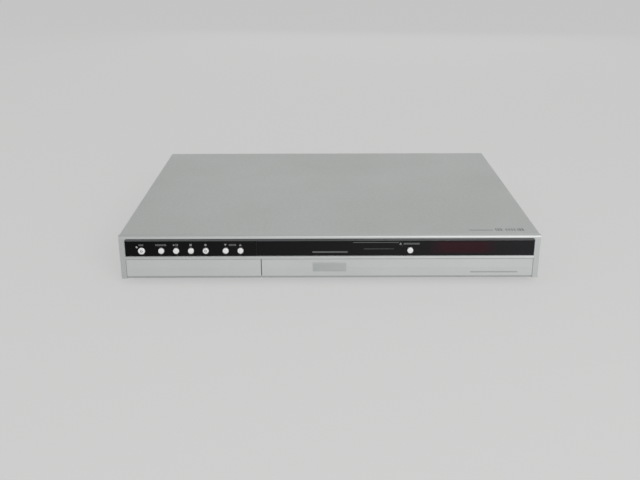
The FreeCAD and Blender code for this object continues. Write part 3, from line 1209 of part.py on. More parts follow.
def disc_tray():
    """The tray: deck with both disc recesses, the long opening, rims, hanging rails and the toothed rack."""
    body = new_body("DiscTray")
    back = "tray_front + tray_length"
    add(body, "XY_Plane", "tray_floor", "tray_wall",
        rectangle(("-tray_half", "tray_half"), ("tray_front", back)))
    for side in (-1, 1):
        for inner, low, high in (("tray_half - 3", "tray_deck - 0.5", "tray_deck + tray_rim"),
                                 ("tray_half - 4", "tray_floor - rail_depth", "tray_floor + 0.5")):
            u = (inner, "tray_half") if side > 0 else ("-tray_half", f"-({inner})")
            add(body, "XY_Plane", low, f"({high}) - ({low})", rectangle(u, ("tray_front + 8", back)))
    add(body, "XY_Plane", "tray_deck - 0.5", "0.5 + tray_rim",
        rectangle(("-tray_half", "tray_half"), ("tray_front", "tray_front + 3")))
    take(body, "XY_Plane", "tray_deck - recess_drop", "tray_wall", rounds=[("0", "spindle_y", "disc_recess")])
    take(body, "XY_Plane", "tray_deck - recess_drop - small_drop", "tray_wall",
         rounds=[("0", "spindle_y", "small_recess")])
    take(body, "XY_Plane", "tray_floor - 1", "tray_wall + 2", rounds=[("0", "spindle_y", "tray_slot")])
    take(body, "XY_Plane", "tray_floor - 1", "tray_wall + 2", rectangle(
        ("-tray_slot", "tray_slot"), ("spindle_y", "spindle_y + tray_slot_reach")))
    for side in (-1, 1):
        u = ("tray_half - 12", "tray_half - 3.6") if side > 0 else ("-tray_half + 3.6", "-tray_half + 12")
        take(body, "XY_Plane", "tray_deck - recess_drop", "tray_wall",
             rectangle(u, ("spindle_y - 13", "spindle_y + 13")))
    pitch = "rack_module * pi"
    root_x = "gear_x - rack_pitch_radius - 1.15 * rack_module"
    add(body, "XY_Plane", "rack_low", "tray_floor + 0.5 - rack_low", rectangle(
        (f"{root_x} - 2.4", root_x), ("drive_front + 2", back)))
    first = f"(gear_y + {pitch} * 0.5 - {pitch} * 3)"
    root_half = f"{pitch} * tooth_share / 2 + 0.419 * rack_module"
    tip_half = f"{pitch} * tooth_share / 2 - 0.291 * rack_module"
    tooth = add(body, "XY_Plane", "rack_low", "tray_floor + 0.5 - rack_low", (
        (f"{root_x} - 0.3", f"{first} - ({root_half})"), (root_x, f"{first} - ({root_half})"),
        ("gear_x - rack_pitch_radius + 0.8 * rack_module", f"{first} - ({tip_half})"),
        ("gear_x - rack_pitch_radius + 0.8 * rack_module", f"{first} + {tip_half}"),
        (root_x, f"{first} + {root_half}"), (f"{root_x} - 0.3", f"{first} + {root_half}")))
    repeat(body, tooth, "Y_Axis", pitch, f"floor(({back} - ({first}) - 2) / ({pitch}))")
    return node("disc_tray", body)


def cam_slider():
    """The slider that lifts the traverse: a plate with a slanted groove for the lift pin."""
    body = new_body("CamSlider")
    low, high = "frame_deck + run_gap", "tray_floor - rail_depth - 2.5"
    add(body, "XZ_Plane", "slider_front", "slider_wall", rectangle(
        ("-slider_margin", "slider_travel + slider_margin"), (low, high)))
    half = "(pin_radius + run_gap + 0.1)"
    run = "slider_travel"
    take(body, "XZ_Plane", "slider_front - 1", "slider_wall + 2", (
        (f"-{half} - 1.2", f"pin_low - {half} * 1.25"), (f"{half}", f"pin_low - {half} * 1.25"),
        (f"{run} + {half} + 1.2", f"pin_high - {half} * 1.1"), (f"{run} + {half} + 1.2",
                                                                f"pin_high + {half} * 1.25"),
        (f"{run} - {half}", f"pin_high + {half} * 1.25"), (f"-{half} - 1.2", f"pin_low + {half} * 1.1")))
    return node("cam_slider", body)


def traverse():
    """The tilting traverse: frame with trunnions and lift pin, motor, turntable, rods, screw and pickup."""
    spindle = "-lift_pivot_reach"
    front = f"({spindle} - traverse_front)"
    rail = ("-traverse_wall / 2", "traverse_wall / 2")
    frame = slab(("-traverse_half", "traverse_half"), (front, "4"), rail)
    through = ("-traverse_wall", "traverse_wall")
    opening = slab(("-traverse_half + 7", "traverse_half - 7"), (f"{spindle} + 15.5", "-8"), through)
    throat = slab(("-sled_half_width - 1", "sled_half_width + 1"), (f"{spindle} + 2", "-20"), through)
    notch = slab(("screw_offset - 5", "screw_offset + 5"), ("-15", "-4.5"), through)
    seat_hole = rod("z", ("0", spindle), "spindle_motor_radius + 0.2", ("-traverse_wall", "traverse_wall"))
    trunnions = rod("x", ("0", "0"), "trunnion_radius", ("-traverse_half - 4.4", "traverse_half + 4.4"))
    pin = rod("y", ("0", "0"), "pin_radius", (f"{front} - slider_wall - 2", f"{front} + 1"))
    node("traverse_frame", joined(less(frame, opening, throat, notch, seat_hole), trunnions, pin), hang)
    rings = [less(rod("x", ("pivot_y", "lift_pivot_height"), "damper_radius", span),
                  rod("x", ("pivot_y", "lift_pivot_height"), "trunnion_radius + 0.1",
                      (f"{span[0]} - 1", f"{span[1]} + 1")))
             for span in (("-traverse_half - 4.4", "-traverse_half - 1"),
                          ("traverse_half + 1", "traverse_half + 4.4"))]
    node("damper_rings", group(*rings))
    top = "(seat_height - lift_pivot_height)"
    can = rod("z", ("0", spindle), "spindle_motor_radius", (f"{top} - 15.4", f"{top} - 5.2"))
    plate = slab(("-20", "20"), (f"{spindle} - 15", f"{spindle} + 15"),
                 ("-traverse_wall / 2 - 1", "-traverse_wall / 2"))
    shaft = rod("z", ("0", spindle), "1.4", (f"{top} - 6", f"{top} - 0.6"))
    node("spindle_motor", joined(can, plate, shaft), hang)
    turntable(spindle, top)
    pickup(spindle)


def turntable(spindle, top):
    """The turntable: rubber-edged seat, centring hub, and the boss that takes the motor shaft."""
    plate = rod("z", ("0", spindle), "turntable_radius", (f"{top} - 2.4", top))
    boss = rod("z", ("0", spindle), "5", (f"{top} - 4.8", f"{top} - 2"))
    hub = rod("z", ("0", spindle), "hub_radius", (f"{top} - 1", f"{top} + 0.9"))
    nose = cone(("0", spindle), ("hub_radius", "hub_radius - 2"), (f"{top} + 0.9", f"{top} + 2"))
    bore = rod("z", ("0", spindle), "1.5", (f"{top} - 6", f"{top} - 0.4"))
    keys = [slab((f"{side} * 11 - 1", f"{side} * 11 + 1"), (f"{spindle} - 1.5", f"{spindle} + 1.5"),
                 (f"{top} - 3.2", f"{top} - 2")) for side in (-1, 1)]
    node("turntable", less(joined(plate, boss, hub, nose, *keys), bore), hang)


def pickup(spindle):
    """The pickup on its two rods, driven by a lead screw, with the lens on top."""
    lens = f"({spindle} + sled_inner)"
    ends = (f"{spindle} + 15.5", "-8")
    rods = [rod("y", (f"{side} * rod_offset", "0"), "rod_radius", ends) for side in (-1, 1)]
    node("guide_rods", group(*rods), hang)
    screw = rod("y", ("screw_offset", "-3"), "screw_radius", (f"{spindle} + 15.8", "-14.4"))
    tip = rod("y", ("screw_offset", "-3"), "screw_radius - 0.6", ("-15", "-12.8"))
    node("lead_screw", joined(screw, tip), hang)
    motor = rod("y", ("screw_offset", "-3"), "4", ("-13.8", "-5"))
    mount = slab(("screw_offset - 7", "screw_offset + 7"), ("-13", "-6"), ("-8", "-traverse_wall / 2"))
    node("sled_motor",
         less(joined(motor, mount),
              rod("y", ("screw_offset", "-3"), "screw_radius - 0.5", ("-15", "-12.5"))), hang)
    body = slab(("-sled_half_width", "sled_half_width"),
                (f"{lens} - sled_half_length", f"{lens} + sled_half_length"), ("-2.6", "4.4"))
    wings = [slab((f"{side} * rod_offset - 4", f"{side} * rod_offset + 4"), (f"{lens} - 8", f"{lens} + 8"),
                  ("-3.4", "3.4"))
             for side in (-1, 1)]
    bridges = [slab((f"{low}", f"{high}"), (f"{lens} - 6", f"{lens} + 6"), ("-2.6", "2.6"))
               for low,
               high in (("-rod_offset", "-sled_half_width + 1"), ("sled_half_width - 1", "rod_offset"))]
    cage = less(slab(("-10", "10"), (f"{lens} - 9", f"{lens} + 9"), ("3", "9.6")),
                rod("z", ("0", lens), "lens_radius + 1.2", ("4", "11")))
    grooves = [rod("y", (f"{side} * rod_offset", "0"), "rod_radius + 0.15",
                   (f"{lens} - 30", f"{lens} + 30")) for side in (-1, 1)]
    nut = slab(("rod_offset + 2", "screw_offset + 2.2"), (f"{lens} - 4", f"{lens} + 4"), ("-6.2", "-3"))
    thread = rod("y", ("screw_offset", "-3"), "screw_radius + 0.25", (f"{lens} - 5", f"{lens} + 5"))
    round_motor = rod("z", ("0", spindle), "spindle_motor_radius + 1", ("-8", "12"))
    node("pickup_sled", less(joined(body, cage, nut, *wings, *bridges), thread, round_motor, *grooves), hang)
    lens_ring = rod("z", ("0", lens), "lens_radius + 0.8", ("4.4 + run_gap", "9.4"))
    glass = rod("z", ("0", lens), "lens_radius", ("9", "10.2"))
    node("objective_lens", joined(lens_ring, glass), hang)


def clamp():
    """The bridge over the disc and the clamper that hangs in it."""
    feet_x = ("frame_half - 6", "frame_half")
    span = ("spindle_y - bridge_half", "spindle_y + bridge_half")
    beam = slab(("-frame_half", "frame_half"), span, ("bridge_low", "bridge_low + bridge_wall"))
    posts = [slab(feet_x if side > 0 else (f"-({feet_x[1]})", f"-({feet_x[0]})"), span,
                  ("frame_top", "bridge_low + 1"))
             for side in (-1, 1)]
    hole = rod("z", ("0", "spindle_y"), "clamper_radius - 4.5", ("bridge_low - 1", "bridge_low + 3"))
    node("clamp_bridge", less(joined(beam, *posts), hole))
    bottom = "seat_height + disc_wall + 0.5"
    plate = rod("z", ("0", "spindle_y"), "clamper_radius", (bottom, "bridge_low - run_gap - 0.4"))
    neck = rod("z", ("0", "spindle_y"), "clamper_radius - 5", (f"{bottom} + 1", "clamper_top - 0.9"))
    flange = rod("z", ("0", "spindle_y"), "clamper_radius - 2",
                 ("bridge_low + bridge_wall + run_gap", "clamper_top"))
    socket = rod("z", ("0", "spindle_y"), "hub_radius + 0.9", (f"{bottom} - 1", f"{bottom} + 2.2"))
    node("clamper", less(joined(plate, neck, flange), socket))


def check_document():
    """Stops if any object failed or any sub-part has no sound shape."""
    for item in doc.Objects:
        if {"Invalid", "Error"} & set(item.State):
            raise RuntimeError(f"{item.Label} failed: {item.State}")
    for item in NODES:
        if item.Shape.isNull() or not item.Shape.isValid() or not item.Shape.Solids:
            raise RuntimeError(f"{item.Label} has no sound shape")


def export():
    """Writes each sub-part to its own file."""
    os.makedirs("parts", exist_ok=True)
    for item in NODES:
        item.Shape.exportStep(f"parts/{item.Label}.step")


def build():
    """Builds the sub-parts from the outside in."""
    makers = (top_cover, base_chassis, rear_panel, front_bezel, front_window, lower_trim, jack_flap,
              tray_door,
              buttons, feet, case_screws, front_board, tact_switches, display_module, lamp_and_sensor,
              front_jacks,
              boards, power_parts, rear_sockets, ac_inlet, fan, loader_case, loader_frame, drive_gear,
              pulley_gear,
              loading_drive, disc_tray, cam_slider, traverse, clamp)
    for maker in makers:
        maker()
    doc.recompute()
    check_document()
    export()
    print(len(NODES), "sub-parts")


build()
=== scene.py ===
"""Looks of the disc recorder: moulded front, painted steel case, rear sockets and the tray loader."""

from __future__ import annotations

import json
import logging
import math
from dataclasses import dataclass, field
from enum import Enum
from typing import Callable, Iterable, Sequence

import bmesh
import bpy
from mathutils import Matrix, Vector

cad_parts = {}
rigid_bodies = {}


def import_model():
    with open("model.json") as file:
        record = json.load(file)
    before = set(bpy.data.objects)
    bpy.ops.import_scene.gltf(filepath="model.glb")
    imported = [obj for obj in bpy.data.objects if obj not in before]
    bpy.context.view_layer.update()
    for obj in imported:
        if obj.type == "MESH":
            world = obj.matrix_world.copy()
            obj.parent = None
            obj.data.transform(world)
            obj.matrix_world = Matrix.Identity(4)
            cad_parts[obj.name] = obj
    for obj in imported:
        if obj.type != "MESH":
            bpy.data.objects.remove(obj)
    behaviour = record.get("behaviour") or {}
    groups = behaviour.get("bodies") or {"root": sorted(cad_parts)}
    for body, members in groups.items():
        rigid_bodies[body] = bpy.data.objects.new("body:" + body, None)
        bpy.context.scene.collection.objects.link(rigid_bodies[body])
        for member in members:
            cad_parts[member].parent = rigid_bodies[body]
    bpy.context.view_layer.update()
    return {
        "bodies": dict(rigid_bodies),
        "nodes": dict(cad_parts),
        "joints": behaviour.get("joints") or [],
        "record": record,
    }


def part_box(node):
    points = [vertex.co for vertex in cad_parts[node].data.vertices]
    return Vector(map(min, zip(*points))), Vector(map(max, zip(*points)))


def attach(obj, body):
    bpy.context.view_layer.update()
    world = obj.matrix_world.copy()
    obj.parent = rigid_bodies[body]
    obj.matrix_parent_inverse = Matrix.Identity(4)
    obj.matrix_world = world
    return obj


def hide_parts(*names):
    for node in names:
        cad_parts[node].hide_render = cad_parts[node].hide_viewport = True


LOG = logging.getLogger("disc_recorder")
MM = 0.001
ROOT = "recorder"
Point = tuple[float, float]
Colour = tuple[float, float, float]


def srgb(red: float, green: float, blue: float) -> Colour:
    """Turns screen levels of 0 to 255 into the linear colour that shows as them.

    Args:
        red: red level.
        green: green level.
        blue: blue level.

    Returns:
        The linear colour.
    """
    def linear(level: float) -> float:
        """One channel."""
        share = level / 255
        return share / 12.92 if share <= 0.04045 else ((share + 0.055) / 1.055) ** 2.4

    return linear(red), linear(green), linear(blue)


class Axis(Enum):
    """The axis that a profile is swept along or turned about."""

    X = 0
    Y = 1
    Z = 2


def set_up(axis: Axis, u: float, v: float, along: float) -> Vector:
    """Places a point of a profile: u and v are the two other axes, in the order x, y, z.

    Args:
        axis: axis that the profile is swept along.
        u: first coordinate across it.
        v: second coordinate across it.
        along: coordinate on the axis.

    Returns:
        The point.
    """
    if axis is Axis.X:
        return Vector((along, u, v))
    if axis is Axis.Y:
        return Vector((u, along, v))
    return Vector((u, v, along))


class Shader:
    """A short way to build the nodes of a material or of a group."""

    def __init__(self, tree: bpy.types.NodeTree) -> None:
        """Works in one node tree."""
        self.tree = tree

    def node(self, kind: str, **settings: object) -> bpy.types.Node:
        """Adds a node and sets its properties.

        Args:
            kind: Blender's name of the node type.
            settings: properties to set on the node.

        Returns:
            The node.
        """
        made = self.tree.nodes.new(kind)
        for key, setting in settings.items():
            setattr(made, key, setting)
        return made

    def feed(self, node: bpy.types.Node, **sockets: object) -> bpy.types.Node:
        """Sets or links inputs of a node. Underscores in a name stand for spaces.

        Args:
            node: the node.
            sockets: an output socket to link, or a plain value, by input name.

        Returns:
            The node.
        """
        for key, given in sockets.items():
            socket = node.inputs[key.replace("_", " ")]
            if isinstance(given, bpy.types.NodeSocket):
                self.tree.links.new(given, socket)
            else:
                socket.default_value = given
        return node

    def math(self, operation: str, first: object, second: object = 0.0) -> bpy.types.NodeSocket:
        """A value worked out from two others.

        Args:
            operation: Blender's name of the operation.
            first: socket or number.
            second: socket or number.

        Returns:
            The output socket.
        """
        made = self.node("ShaderNodeMath", operation=operation)
        for place, given in enumerate((first, second)):
            if isinstance(given, bpy.types.NodeSocket):
                self.tree.links.new(given, made.inputs[place])
            else:
                made.inputs[place].default_value = given
        return made.outputs[0]

    def blend(self, share: object, first: object, second: object) -> bpy.types.NodeSocket:
        """A colour between two others.

        Args:
            share: socket or number, 0 for the first colour.
            first: socket or colour.
            second: socket or colour.

        Returns:
            The output socket.
        """
        made = self.node("ShaderNodeMix", data_type="RGBA")
        for place, given in ((0, share), (6, first), (7, second)):
            if isinstance(given, bpy.types.NodeSocket):
                self.tree.links.new(given, made.inputs[place])
            elif place:
                made.inputs[place].default_value = (*given, 1.0)
            else:
                made.inputs[place].default_value = given
        return made.outputs[2]

    def ramp(self, value: bpy.types.NodeSocket, low: float, high: float) -> bpy.types.NodeSocket:
        """Stretches a value so that low becomes 0 and high becomes 1.

        Args:
            value: the socket to stretch.
            low: where the result is 0.
            high: where the result is 1.

        Returns:
            The output socket.
        """
        made = self.node("ShaderNodeMapRange", clamp=True)
        self.tree.links.new(value, made.inputs["Value"])
        made.inputs["From Min"].default_value = low
        made.inputs["From Max"].default_value = high
        return made.outputs["Result"]


class Effect(Enum):
    """The effects that several materials share, each a node group of its own."""

    GRAIN = "fine_grain"
    CLOUD = "soft_cloud"
    STREAK = "rolled_streaks"
    DUST = "settled_dust"
    WEAR = "edge_wear"


def new_group(effect: Effect, inputs: dict[str, float], outputs: Sequence[str]) -> tuple[Shader, dict, dict]:
    """Starts the node group of an effect.

    Args:
        effect: which effect.
        inputs: name and default of each input value.
        outputs: name of each output value.

    Returns:
        The shader helper, the input sockets by name and the output sockets by name.
    """
    tree = bpy.data.node_groups.new(effect.value, "ShaderNodeTree")
    for name, default in inputs.items():
        tree.interface.new_socket(name, in_out="INPUT", socket_type="NodeSocketFloat").default_value = default
    for name in outputs:
        tree.interface.new_socket(name, in_out="OUTPUT", socket_type="NodeSocketFloat")
    shader = Shader(tree)
    entry, leave = shader.node("NodeGroupInput"), shader.node("NodeGroupOutput")
    return shader, {name: entry.outputs[name] for name in inputs}, {name: leave.inputs[name] for name in outputs}


def build_grain() -> None:
    """Fine moulded or painted grain: a height and a mask from two sizes of noise."""
    shader, given, out = new_group(Effect.GRAIN, {"Scale": 2200.0, "Coarse": 0.3}, ("Height", "Mask"))
    place = shader.node("ShaderNodeTexCoord").outputs["Object"]
    fine = shader.feed(shader.node("ShaderNodeTexNoise"), Vector=place, Scale=given["Scale"], Detail=2.0)
    wide = shader.feed(shader.node("ShaderNodeTexNoise"), Vector=place,
                       Scale=shader.math("MULTIPLY", given["Scale"], 0.27), Detail=1.0)
    mixed = shader.math("ADD", shader.math("MULTIPLY", wide.outputs["Fac"], given["Coarse"]), fine.outputs["Fac"])
    shader.tree.links.new(mixed, out["Height"])
    shader.tree.links.new(shader.ramp(fine.outputs["Fac"], 0.42, 0.62), out["Mask"])


def build_cloud() -> None:
    """Broad soft unevenness, as in sprayed paint or on a handled surface."""
    shader, given, out = new_group(Effect.CLOUD, {"Scale": 14.0}, ("Mask",))
    place = shader.node("ShaderNodeTexCoord").outputs["Object"]
    noise = shader.feed(shader.node("ShaderNodeTexNoise"), Vector=place, Scale=given["Scale"], Detail=4.0, Roughness=0.6)
    shader.tree.links.new(shader.ramp(noise.outputs["Fac"], 0.32, 0.68), out["Mask"])


def build_streak() -> None:
    """Streaks along x, as rolling leaves on sheet metal."""
    shader, given, out = new_group(Effect.STREAK, {"Scale": 900.0}, ("Height", "Mask"))
    place = shader.node("ShaderNodeTexCoord").outputs["Object"]
    squeezed = shader.node("ShaderNodeMapping")
    squeezed.inputs["Scale"].default_value = (0.03, 1.0, 1.0)
    shader.tree.links.new(place, squeezed.inputs["Vector"])
    noise = shader.feed(shader.node("ShaderNodeTexNoise"), Vector=squeezed.outputs["Vector"], Scale=given["Scale"],
                        Detail=3.0)
    shader.tree.links.new(noise.outputs["Fac"], out["Height"])
    shader.tree.links.new(shader.ramp(noise.outputs["Fac"], 0.38, 0.66), out["Mask"])


def build_dust() -> None:
    """Dust that settles on what faces up, thinner in patches."""
    shader, given, out = new_group(Effect.DUST, {"Amount": 0.2}, ("Mask",))
    up = shader.node("ShaderNodeSeparateXYZ")
    shader.tree.links.new(shader.node("ShaderNodeNewGeometry").outputs["Normal"], up.inputs[0])
    place = shader.node("ShaderNodeTexCoord").outputs["Object"]
    patch = shader.feed(shader.node("ShaderNodeTexNoise"), Vector=place, Scale=9.0, Detail=5.0, Roughness=0.65)
    speck = shader.feed(shader.node("ShaderNodeTexNoise"), Vector=place, Scale=700.0, Detail=2.0)
    thick = shader.math("MULTIPLY", shader.ramp(patch.outputs["Fac"], 0.35, 0.75),
                        shader.ramp(speck.outputs["Fac"], 0.3, 0.8))
    facing = shader.ramp(up.outputs["Z"], 0.6, 1.0)
    amount = shader.math("MULTIPLY", shader.math("MULTIPLY", thick, facing), given["Amount"])
    shader.tree.links.new(amount, out["Mask"])


def build_wear() -> None:
    """Rubbed edges: where the surface turns sharply, broken up by noise."""
    shader, given, out = new_group(Effect.WEAR, {"Amount": 0.5}, ("Mask",))
    edge = shader.ramp(shader.node("ShaderNodeNewGeometry").outputs["Pointiness"], 0.51, 0.58)
    place = shader.node("ShaderNodeTexCoord").outputs["Object"]
    noise = shader.feed(shader.node("ShaderNodeTexNoise"), Vector=place, Scale=260.0, Detail=3.0)
    rubbed = shader.math("MULTIPLY", edge, shader.ramp(noise.outputs["Fac"], 0.4, 0.6))
    shader.tree.links.new(shader.math("MULTIPLY", rubbed, given["Amount"]), out["Mask"])


BUILDERS: dict[Effect, Callable[[], None]] = {
    Effect.GRAIN: build_grain,
    Effect.CLOUD: build_cloud,
    Effect.STREAK: build_streak,
    Effect.DUST: build_dust,
    Effect.WEAR: build_wear,
}


def effect(shader: Shader, kind: Effect, **given: float) -> bpy.types.Node:
    """Places an effect's node group in a material, and builds the group the first time.

    Args:
        shader: the material's shader helper.
        kind: which effect.
        given: values for the group's inputs.

    Returns:
        The group node.
    """
    if kind.value not in bpy.data.node_groups:
        BUILDERS[kind]()
    placed = shader.node("ShaderNodeGroup", node_tree=bpy.data.node_groups[kind.value])
    return shader.feed(placed, **given)


DUST_COLOUR = srgb(176, 172, 164)
BLUR = 0.12


@dataclass(frozen=True)
class Finish:
    """A surface: its colours, gloss, and how strongly each shared effect shows on it."""

    name: str
    colour: Colour
    shade: Colour
    roughness: float = 0.5
    spread: float = 0.06
    metallic: float = 0.0
    grain: float = 0.0
    grain_scale: float = 2200.0
    streak: float = 0.0
    cloud_scale: float = 14.0
    dust: float = 0.0
    wear: float = 0.0
    bare: Colour = (0.6, 0.6, 0.6)
    coat: float = 0.0
    coat_roughness: float = 0.05
    specular: float = 0.5
    transmission: float = 0.0
    glow: float = 0.0

    def build(self) -> bpy.types.Material:
        """Makes the material, or finds it if it is made already.

        Returns:
            The material.
        """
        label = f"{self.name}_finish"
        if label in bpy.data.materials:
            return bpy.data.materials[label]
        made = bpy.data.materials.new(label)
        made.use_nodes = True
        made.diffuse_color = (*self.colour, 1.0)
        shader = Shader(made.node_tree)
        surface = made.node_tree.nodes["Principled BSDF"]
        cloud = effect(shader, Effect.CLOUD, Scale=self.cloud_scale).outputs["Mask"]
        colour = shader.blend(cloud, self.colour, self.shade)
        height = None
        gloss = cloud
        if self.grain:
            grain = effect(shader, Effect.GRAIN, Scale=self.grain_scale)
            colour = shader.blend(shader.math("MULTIPLY", grain.outputs["Mask"], 0.35), colour, self.shade)
            height = grain.outputs["Height"]
            gloss = shader.math("MULTIPLY", shader.math("ADD", gloss, grain.outputs["Mask"]), 0.5)
        if self.streak:
            streak = effect(shader, Effect.STREAK)
            colour = shader.blend(shader.math("MULTIPLY", streak.outputs["Mask"], 0.5), colour, self.shade)
            gloss = streak.outputs["Mask"]
            height = streak.outputs["Height"]
        if self.wear:
            worn = effect(shader, Effect.WEAR, Amount=self.wear).outputs["Mask"]
            colour = shader.blend(worn, colour, self.bare)
        if self.dust:
            dusty = effect(shader, Effect.DUST, Amount=self.dust).outputs["Mask"]
            colour = shader.blend(dusty, colour, DUST_COLOUR)
            gloss = shader.math("MAXIMUM", gloss, shader.math("MULTIPLY", dusty, 2.0))
        spread = shader.node("ShaderNodeMapRange", clamp=True)
        shader.feed(spread, Value=gloss, To_Min=max(0.02, self.roughness - self.spread),
                    To_Max=min(1.0, self.roughness + self.spread))
        shader.feed(surface, Base_Color=self.tinted(shader, colour), Roughness=spread.outputs["Result"])
        self.set_plain(surface)
        if height:
            bump = shader.node("ShaderNodeBump")
            shader.feed(bump, Height=height, Strength=max(self.grain, self.streak), Distance=0.00012)
            shader.feed(surface, Normal=bump.outputs["Normal"])
        return made

    def tinted(self, shader: Shader, colour: bpy.types.NodeSocket) -> bpy.types.NodeSocket:
        """Lets a finish change its colour over the surface. A plain finish doesn't.

        Args:
            shader: the material's shader helper; not used by a plain finish.
            colour: colour worked out so far.

        Returns:
            The colour to use.
        """
        return colour

    def set_plain(self, surface: bpy.types.Node) -> None:
        """Sets the values that are the same all over the surface.

        Args:
            surface: the material's shader.
        """
        surface.inputs["Metallic"].default_value = self.metallic
        surface.inputs["Coat Weight"].default_value = self.coat
        surface.inputs["Coat Roughness"].default_value = self.coat_roughness
        surface.inputs["Specular IOR Level"].default_value = self.specular
        surface.inputs["Transmission Weight"].default_value = self.transmission
        if self.glow:
            surface.inputs["Emission Color"].default_value = (*self.colour, 1.0)
            surface.inputs["Emission Strength"].default_value = self.glow


@dataclass(frozen=True)
class BoardFinish(Finish):
    """A circuit board: copper tracks under the lacquer, and solder spots in rows."""

    track: Colour = (0.10, 0.30, 0.15)

    def tinted(self, shader: Shader, colour: bpy.types.NodeSocket) -> bpy.types.NodeSocket:
        """Lays tracks and solder spots over the lacquer's colour.

        Args:
            shader: the material's shader helper.
            colour: colour of the lacquer.

        Returns:
            The colour with the tracks.
        """
        place = shader.node("ShaderNodeTexCoord").outputs["Object"]
        tracks = shader.feed(shader.node("ShaderNodeTexBrick"), Vector=place, Scale=52.0, Mortar_Size=0.035,
                             Brick_Width=0.9, Row_Height=0.11, Color1=(0, 0, 0, 1), Color2=(0, 0, 0, 1),
                             Mortar=(1, 1, 1, 1))
        cells = shader.node("ShaderNodeTexVoronoi", feature="F1")
        shader.feed(cells, Vector=place, Scale=170.0, Randomness=0.55)
        spot = shader.ramp(cells.outputs["Distance"], 0.17, 0.13)
        laid = shader.blend(tracks.outputs["Color"], colour, self.track)
        return shader.blend(shader.math("MULTIPLY", spot, 0.8), laid, (0.55, 0.56, 0.56))


def within(shader: Shader, value: bpy.types.NodeSocket, low: float, high: float) -> bpy.types.NodeSocket:
    """A mask that is 1 where a value in metres lies between two limits in millimetres, with slightly soft edges.

    Args:
        shader: the material's shader helper.
        value: the value.
        low: the lower limit.
        high: the upper limit.

    Returns:
        The mask.
    """
    return shader.math("MULTIPLY", shader.ramp(value, (low - BLUR) * MM, (low + BLUR) * MM),
                       shader.ramp(value, (high + BLUR) * MM, (high - BLUR) * MM))


@dataclass(frozen=True)
class PaintedLightBand:
    """A level band of painted light on a moulding, lighter or darker than it, from one height to another, between two
    distances from the middle.
    """

    low: float
    high: float
    left: Colour
    right: Colour
    inner: float = -1.0
    outer: float = 216.0


@dataclass(frozen=True)
class PaintedLightBandFinish(Finish):
    """A moulding with level bands of painted highlight and painted shade, each brighter or darker towards the right, as
    light from the right is painted in.
    """

    painted_light_bands: tuple[PaintedLightBand, ...] = ()

    def tinted(self, shader: Shader, colour: bpy.types.NodeSocket) -> bpy.types.NodeSocket:
        """Paints the bands of highlight and shade over the moulding's colour.

        Args:
            shader: the material's shader helper.
            colour: colour of the moulding.

        Returns:
            The colour with the bands.
        """
        place = shader.node("ShaderNodeSeparateXYZ")
        shader.tree.links.new(shader.node("ShaderNodeTexCoord").outputs["Object"], place.inputs[0])
        # painted light from the right: each band runs from its left tone to its right tone across the width
        across = shader.ramp(place.outputs["X"], -0.21, 0.21)
        away = shader.math("ABSOLUTE", place.outputs["X"])
        for band in self.painted_light_bands:
            share = shader.math("MULTIPLY", within(shader, place.outputs["Z"], band.low, band.high),
                                within(shader, away, band.inner, band.outer))
            colour = shader.blend(share, colour, shader.blend(across, band.left, band.right))
        return colour


@dataclass(frozen=True)
class Mark:
    """A plain printed oblong on the cover's top, in millimetres, either whole or broken into ticks."""

    left: float
    right: float
    near: float
    far: float
    colour: Colour
    ticked: bool = True


@dataclass(frozen=True)
class CoverFinish(Finish):
    """The cover's paint, with a plain rule and three runs of ticks printed near the right front corner of its top."""

    marks: tuple[Mark, ...] = ()
    tick_pitch: float = 2.8

    def tinted(self, shader: Shader, colour: bpy.types.NodeSocket) -> bpy.types.NodeSocket:
        """Prints the marks over the paint.

        Args:
            shader: the material's shader helper.
            colour: colour of the paint.

        Returns:
            The colour with the marks.
        """
        place = shader.node("ShaderNodeSeparateXYZ")
        shader.tree.links.new(shader.node("ShaderNodeTexCoord").outputs["Object"], place.inputs[0])
        turn = shader.math("FRACT", shader.math("DIVIDE", place.outputs["X"], self.tick_pitch * MM))
        tick = shader.ramp(turn, 0.8, 0.7)
        for mark in self.marks:
            share = shader.math("MULTIPLY", within(shader, place.outputs["X"], mark.left, mark.right),
                                within(shader, place.outputs["Y"], mark.near, mark.far))
            if mark.ticked:
                share = shader.math("MULTIPLY", share, tick)
            colour = shader.blend(share, colour, mark.colour)
        return colour


